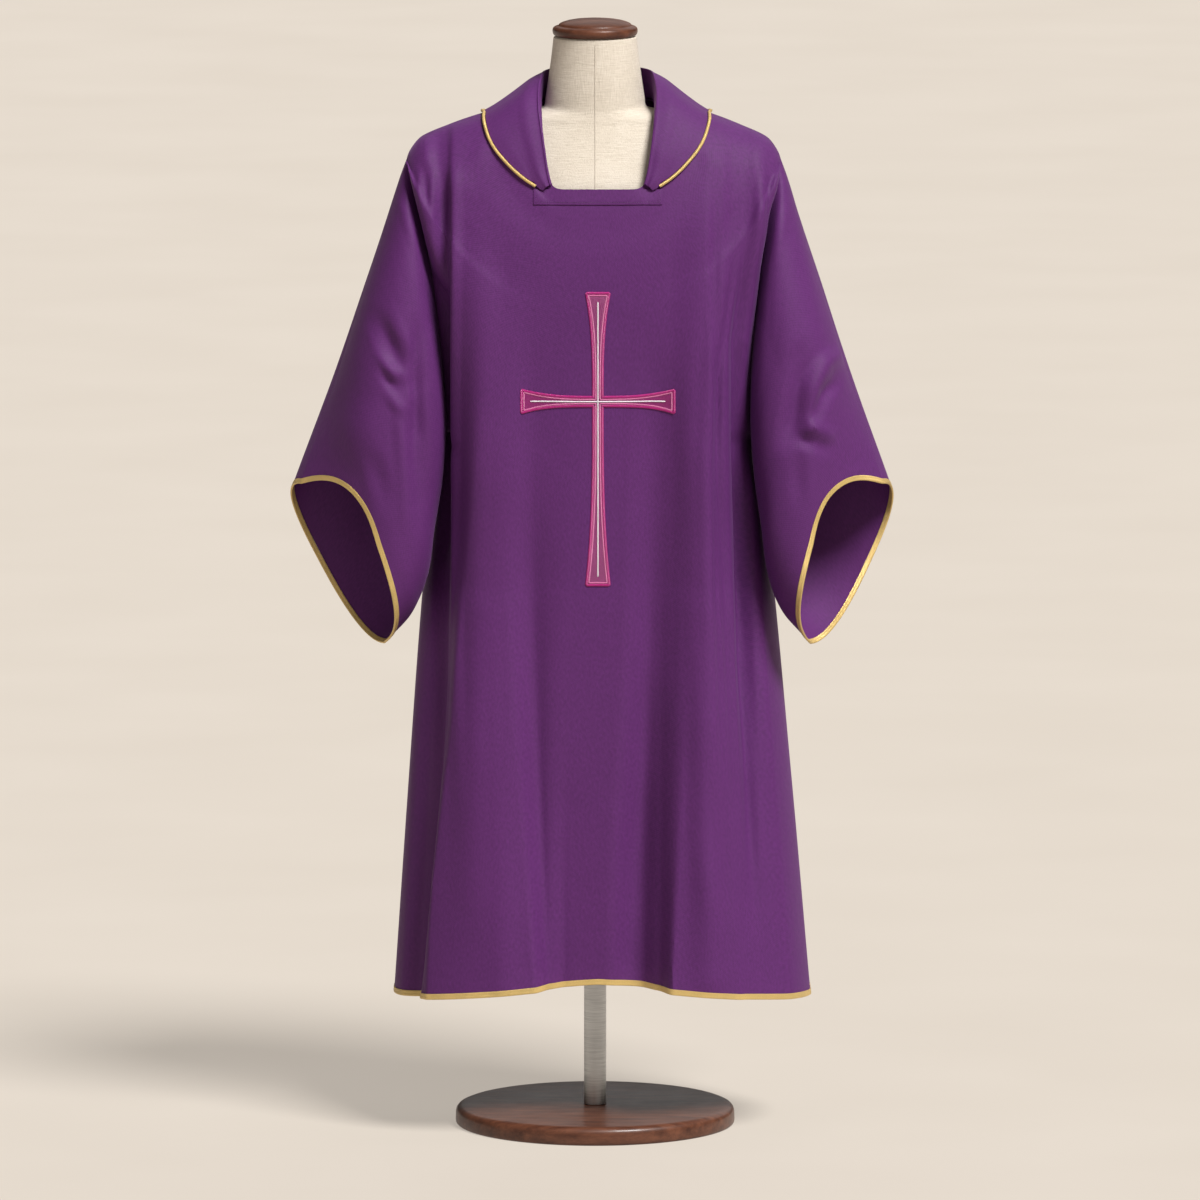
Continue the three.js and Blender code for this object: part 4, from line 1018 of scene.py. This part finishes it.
def neck_band():
    half, top, low, wall = (NECK_BAND[key] for key in ("half", "top", "low", "wall"))
    x = np.linspace(-half, half, 90)[:, None]
    z = np.linspace(top, low, 14)[None, :]
    inset = np.minimum.reduce([half - np.abs(x) + 0 * z, z - low + 0 * x])
    puff = 0.5 * ease(inset / 3) - 0.25 * ease(1 - np.abs(inset - STITCH_INSET) / 1.2)
    grid = on_front(x, z, 0.3 + wall + puff)
    return shell("neck_band_cloth", grid, wall, PURPLE_CLOTH, FRONT)


band = neck_band()


def stitch_row(name, path, lift, pitch, length, radius, material):
    """Separate stitches along a path of (x, z) points on the front."""
    path = np.asarray(path, float)
    runs = run_lengths(path)
    count = int(runs[-1] / pitch)
    starts = (np.arange(count) + 0.25) * pitch
    t = np.linspace(0, 1, STITCH_RINGS)
    along = starts[:, None] + t[None, :] * length
    x = np.interp(along, runs, path[:, 0])
    z = np.interp(along, runs, path[:, 1])
    rise = lift + radius * (1.5 * np.sin(math.pi * t) - 0.6)
    middle = on_front(x, z, rise[None, :] + 0 * x)
    way = unit(np.gradient(middle, axis=1))
    out = np.broadcast_to(np.array([0.0, -1.0, 0.0]), way.shape)
    side = unit(np.cross(way, out))
    out = np.cross(side, way)
    angle = circle(STITCH_SIDES)
    thin = radius * (0.35 + 0.65 * np.sin(math.pi * np.clip(t, 0.08, 0.92)))
    spokes = np.cos(angle)[:, None] * side[:, :, None] + np.sin(angle)[:, None] * out[:, :, None]
    rings = middle[:, :, None] + spokes * thin[None, :, None, None]
    faces = []
    for n in range(count):
        index = np.arange(STITCH_RINGS * STITCH_SIDES).reshape(STITCH_RINGS, STITCH_SIDES)
        index = index + n * STITCH_RINGS * STITCH_SIDES
        wrapped = np.concatenate([index, index[:, :1]], 1)
        quads = points_of(wrapped[:-1, :-1], wrapped[1:, :-1], wrapped[1:, 1:], wrapped[:-1, 1:])
        faces += quads.reshape(-1, 4).tolist() + [index[0].tolist(), index[-1, ::-1].tolist()]
    points = rings.reshape(-1, 3)
    uvs = points_of(points[:, 0] + points[:, 2], points[:, 1])
    return make_object(name, points, faces, material, uvs, sharp=0)


THREAD = thread_material("purple_thread", shade(PURPLE, 0.8), 0.5e-3, rough=0.5, sheen=0.2)
half_band, low_band, top_band = (NECK_BAND[key] for key in ("half", "low", "top"))
band_path = [
    (-half_band + STITCH_INSET, top_band - 1),
    (-half_band + STITCH_INSET, low_band + STITCH_INSET),
    (half_band - STITCH_INSET, low_band + STITCH_INSET),
    (half_band - STITCH_INSET, top_band - 1),
]
band_stitches = stitch_row("neck_band_stitches", band_path, 1.55, 3.2, 2.3, 0.32, THREAD)

# ---- the embroidered cross
CROSS = dict(top=1216, centre=1060, foot=796, arm=110, half=8, flare=10)
GROUND_INSET, GROUND_LIFT, GROUND_WALL = 1.5, 0.9, 0.8
LINE_END = 14  # from the white lines' ends out to the cross's own
MAGENTA, DEEP, PINK, WHITE = (
    thread_material(f"{name}_satin", colour, pitch, rough=rough, dark=dark, sheen=0.1)
    for name, colour, pitch, rough, dark in (
        ("magenta", (0.40, 0.006, 0.17), 0.8e-3, 0.36, 0.6),
        ("deep_magenta", (0.24, 0.008, 0.13), 0.8e-3, 0.45, 0.6),
        ("pink", (0.62, 0.16, 0.36), 0.7e-3, 0.36, 0.6),
        ("white", (0.84, 0.78, 0.86), 0.7e-3, 0.4, 0.75),
    )
)
# Each arm: how far it reaches from the crossing, with the cosine and sine of its turn from upright.
UP, SIDEWAYS, DOWN = CROSS["top"] - CROSS["centre"], CROSS["arm"], CROSS["centre"] - CROSS["foot"]
ARMS = ((UP, 1, 0), (SIDEWAYS, 0, -1), (DOWN, -1, 0), (SIDEWAYS, 0, 1))


def arm_line(far, inset, count):
    """One edge of a flaring arm, out to its end: the distances out, and the distances from its middle."""
    out = np.linspace(CROSS["half"], far, count)
    share = (out - CROSS["half"]) / (far - CROSS["half"])
    return out, CROSS["half"] + CROSS["flare"] * share**3 - inset


def cross_outline(inset):
    """The cross's outline drawn in by inset, as a closed path of (x, z)."""
    path = []
    for far, c, s in ARMS:
        out, wide = arm_line(far - inset, inset, 40)
        out = np.maximum(out, CROSS["half"] - inset)
        out[0] = CROSS["half"] - inset
        x, z = np.concatenate([-wide, wide[::-1]]), np.concatenate([out, out[::-1]])
        path.append(points_of(x * c - z * s, x * s + z * c + CROSS["centre"]))
    return np.concatenate(path)


def evenly(path, step, closed):
    path = np.asarray(path, float)
    if closed:
        path = np.concatenate([path, path[:1]])
    runs = run_lengths(path)
    keep = np.concatenate([[True], np.diff(runs) > 1e-6])
    count = max(3, int(round(runs[-1] / step)))
    at = np.linspace(0, runs[-1], count + (0 if closed else 1), endpoint=not closed)
    return np.stack([np.interp(at, runs[keep], path[keep, n]) for n in range(2)], -1)


def satin_cord(name, path, width, height, lift, material, closed):
    """A raised line of satin stitch along a path of (x, z) on the front."""
    path = evenly(path, 2.0, closed)
    count = len(path)
    way = np.roll(path, -1, 0) - np.roll(path, 1, 0) if closed else np.gradient(path, axis=0)
    way = unit(way)
    side = points_of(-way[:, 1], way[:, 0])
    t = np.linspace(-1, 1, 9)
    taper = np.ones(count)
    if not closed:
        ends = np.minimum(np.arange(count), np.arange(count)[::-1]) * 2.0
        taper = np.sqrt(np.clip((ends + 0.3) / (width / 2), 0, 1))
    flat = path[:, None] + side[:, None] * (t[None, :, None] * width / 2 * taper[:, None, None])
    rise = lift + height * np.sqrt(np.clip(1 - t**2, 0, 1))[None, :] * taper[:, None]
    upper = on_front(flat[..., 0], flat[..., 1], rise)
    lower = on_front(flat[..., 0][:, 1:-1][:, ::-1], flat[..., 1][:, 1:-1][:, ::-1], lift - 0.25)
    return tube(name, np.concatenate([upper, lower], 1), material, closed)


def cross_ground():
    """The low satin ground of the cross: one closed slab for each arm."""
    things = []
    for n, (far, c, s) in enumerate(ARMS):
        out, wide = arm_line(far - GROUND_INSET, GROUND_INSET, 60)
        out, wide = np.concatenate([[0], out]), np.concatenate([[0.01], wide])
        x = wide[:, None] * np.linspace(-1, 1, 9)[None, :]
        z = out[:, None] + 0 * x
        grid = on_front(x * c - z * s, x * s + z * c + CROSS["centre"], GROUND_LIFT)
        grid = grid[::-1] if np.cross(grid[5, 5] - grid[4, 5], grid[5, 6] - grid[5, 5])[1] > 0 else grid
        things.append(shell(f"cross_ground_{n}", grid, GROUND_WALL, DEEP))
    return things


ground_parts = cross_ground()
end, middle = LINE_END, CROSS["centre"]
upright = [(0, CROSS["foot"] + end), (0, CROSS["top"] - end)]
level = [(end - SIDEWAYS, middle), (SIDEWAYS - end, middle)]
cords = [
    satin_cord(*cord)
    for cord in (
        ("cross_border", cross_outline(1.8), 4.2, 1.3, 0.35, MAGENTA, True),
        ("cross_inner", cross_outline(5.0), 2.2, 0.8, 0.75, PINK, True),
        ("cross_line_up", upright, 1.9, 0.9, 1.0, WHITE, False),
        ("cross_line_level", level, 1.9, 0.8, 1.0, WHITE, False),
    )
]


def joined(name, things):
    """One piece out of several meshes, each with its own material."""
    with bpy.context.temp_override(
        active_object=things[0], object=things[0], selected_objects=things, selected_editable_objects=things
    ):
        bpy.ops.object.join()
    things[0].name = name
    things[0].data.name = name
    return things[0]


cross = joined("cross_embroidery", [*cords, *ground_parts])

# ---- the dress form
FORM_X = -4.0
FORM_SIDES = 96
FORM = table(
    "z half front back square",
    (812, 168, 104, 112, 2.3),
    (900, 160, 100, 104, 2.3),
    (1000, 152, 98, 96, 2.3),
    (1100, 162, 108, 104, 2.3),
    (1200, 176, 118, 116, 2.3),
    (1290, 192, 114, 122, 2.3),
    (1350, 207, 101, 117, 2.2),
    (1395, 214, 84, 104, 2.1),
    (1420, 210, 75, 92, 1.9),
    (1436, 201, 70, 84, 1.7),
    (1446, 180, 67, 79, 1.6),
    (1454, 148, 65, 75, 1.7),
    (1460, 108, 63, 71, 1.8),
    (1463, 81, 62.5, 69, 2),
    (1467, 73, 62, 68, 2),
    (1480, 70.5, 61, 66, 2),
    (1510, 66, 59.5, 63, 2),
    (1540, 62, 58, 60, 2),
    (1567, 59, 57, 59, 2),
)
LINEN = linen_material()


def form_ring(z, grow):
    angle = circle(FORM_SIDES)
    reach, depth = squircle(angle, read(FORM, "square", z))
    half = read(FORM, "half", z) + grow
    y = np.where(np.sin(angle) < 0, -(read(FORM, "front", z) + grow), read(FORM, "back", z) + grow) * depth
    x = FORM_X + np.sign(np.cos(angle)) * half * reach
    return points_of(x, y, z)


def form_body():
    zs = [[812.0, 812.6, 814.5], np.arange(820, 1420, 8), np.arange(1420, 1564, 3), [1565, 1566.4, 1567]]
    zs = np.concatenate(zs)
    grow = np.interp(zs, [812, 814.5, 1565, 1567], [-3, 0, 0, -2.2])
    return tube("form_cover", [form_ring(z, g) for z, g in zip(zs, grow)], LINEN)


form = form_body()


SEAM_LINEN = thread_material("linen_seam", (0.62, 0.55, 0.46), 0.8e-3, "Y", rough=0.9, dark=0.8)


def form_seams():
    """The cover's piping seams, down the middle of the front and of the back."""
    zs = np.arange(816.0, 1566, 6)
    things = []
    for face in (FRONT, BACK):
        y = face * (read(FORM, "front" if face == FRONT else "back", zs) + 0.25)
        middle = points_of(FORM_X, y, zs)
        angle = circle(8)
        spokes = points_of(0.9 * np.cos(angle), 0.4 * np.sin(angle), 0)
        things.append(tube("seam", middle[:, None] + spokes[None], SEAM_LINEN))
    return joined("form_seams", things)


seams = form_seams()
WALNUT = wood_material("walnut_varnish", (0.045, 0.014, 0.008), (0.15, 0.05, 0.024), (1, 5, 5), 0.12)
BASE_WOOD = wood_material("base_varnish", (0.045, 0.014, 0.008), (0.16, 0.058, 0.030), (1, 6, 6), 0.25)


def turned(name, profile, material, sides=96):
    """A turned body from a profile of (radius, z)."""
    angle = circle(sides)
    rings = [points_of(FORM_X + r * np.cos(angle), r * np.sin(angle), z) for r, z in profile]
    return tube(name, rings, material)


CAP_PROFILE = [
    (53, 1567.4), (56, 1567.6), (58.6, 1568.8), (60, 1571), (60.6, 1573.6), (60.6, 1576), (60, 1578.2),
    (58.6, 1579.9), (56.6, 1581), (54, 1581.6), (52.6, 1582), (51.9, 1582.8), (51.4, 1583.8), (50, 1585),
    (46, 1586.8), (40, 1588.6), (32, 1590.1), (22, 1591.2), (12, 1591.8), (3, 1592),
]
cap = turned("cap_wood", CAP_PROFILE, WALNUT)
POLE_PROFILE = [(15.2, 26.4), (16, 27.2), (16, 400), (16, 810.8), (15.2, 811.6)]
pole = turned("pole_tube", POLE_PROFILE, steel_material(), 64)
BASE_PROFILE = [
    (194, 0), (198.5, 0.4), (200, 2), (200.4, 5), (200, 17), (199, 20.5), (196.5, 23.5), (192, 25.3),
    (186, 26), (120, 26), (60, 26), (20, 26),
]
base = turned("base_wood", BASE_PROFILE, BASE_WOOD, 128)

# ---- what rides, and which of the model's parts each piece hides and replaces
for piece, slot, *nodes in (
    (front_panel, "purple_cloth", "front_panel"),
    (back_panel, "purple_cloth", "back_panel"),
    (sleeve_right, "purple_cloth", "sleeve_right"),
    (sleeve_left, "purple_cloth", "sleeve_left"),
    (collar, "purple_cloth", "collar"),
    (piping, "gold_braid", "collar_piping"),
    (band, "purple_cloth", "neck_band"),
    (band_stitches, "purple_cloth"),
    (hem_front, "gold_braid", "hem_binding_front"),
    (hem_back, "gold_braid", "hem_binding_back"),
    (cuff_right, "gold_braid", "cuff_binding_right"),
    (cuff_left, "gold_braid", "cuff_binding_left"),
    (cross, "magenta_satin", "cross"),
    (form, "linen", "form_body"),
    (seams, "linen"),
    (cap, "dark_wood", "form_cap"),
    (pole, "steel", "stand_pole"),
    (base, "dark_wood", "stand_base"),
):
    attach(piece, "root")
    if nodes:
        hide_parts(*nodes)

FLOOR_REACH = 9e4
corners = [(x * FLOOR_REACH, y * FLOOR_REACH, 0) for x, y in ((-1, -1), (1, -1), (1, 1), (-1, 1))]
floor = make_object("floor", corners, [(0, 1, 2, 3)], floor_material())
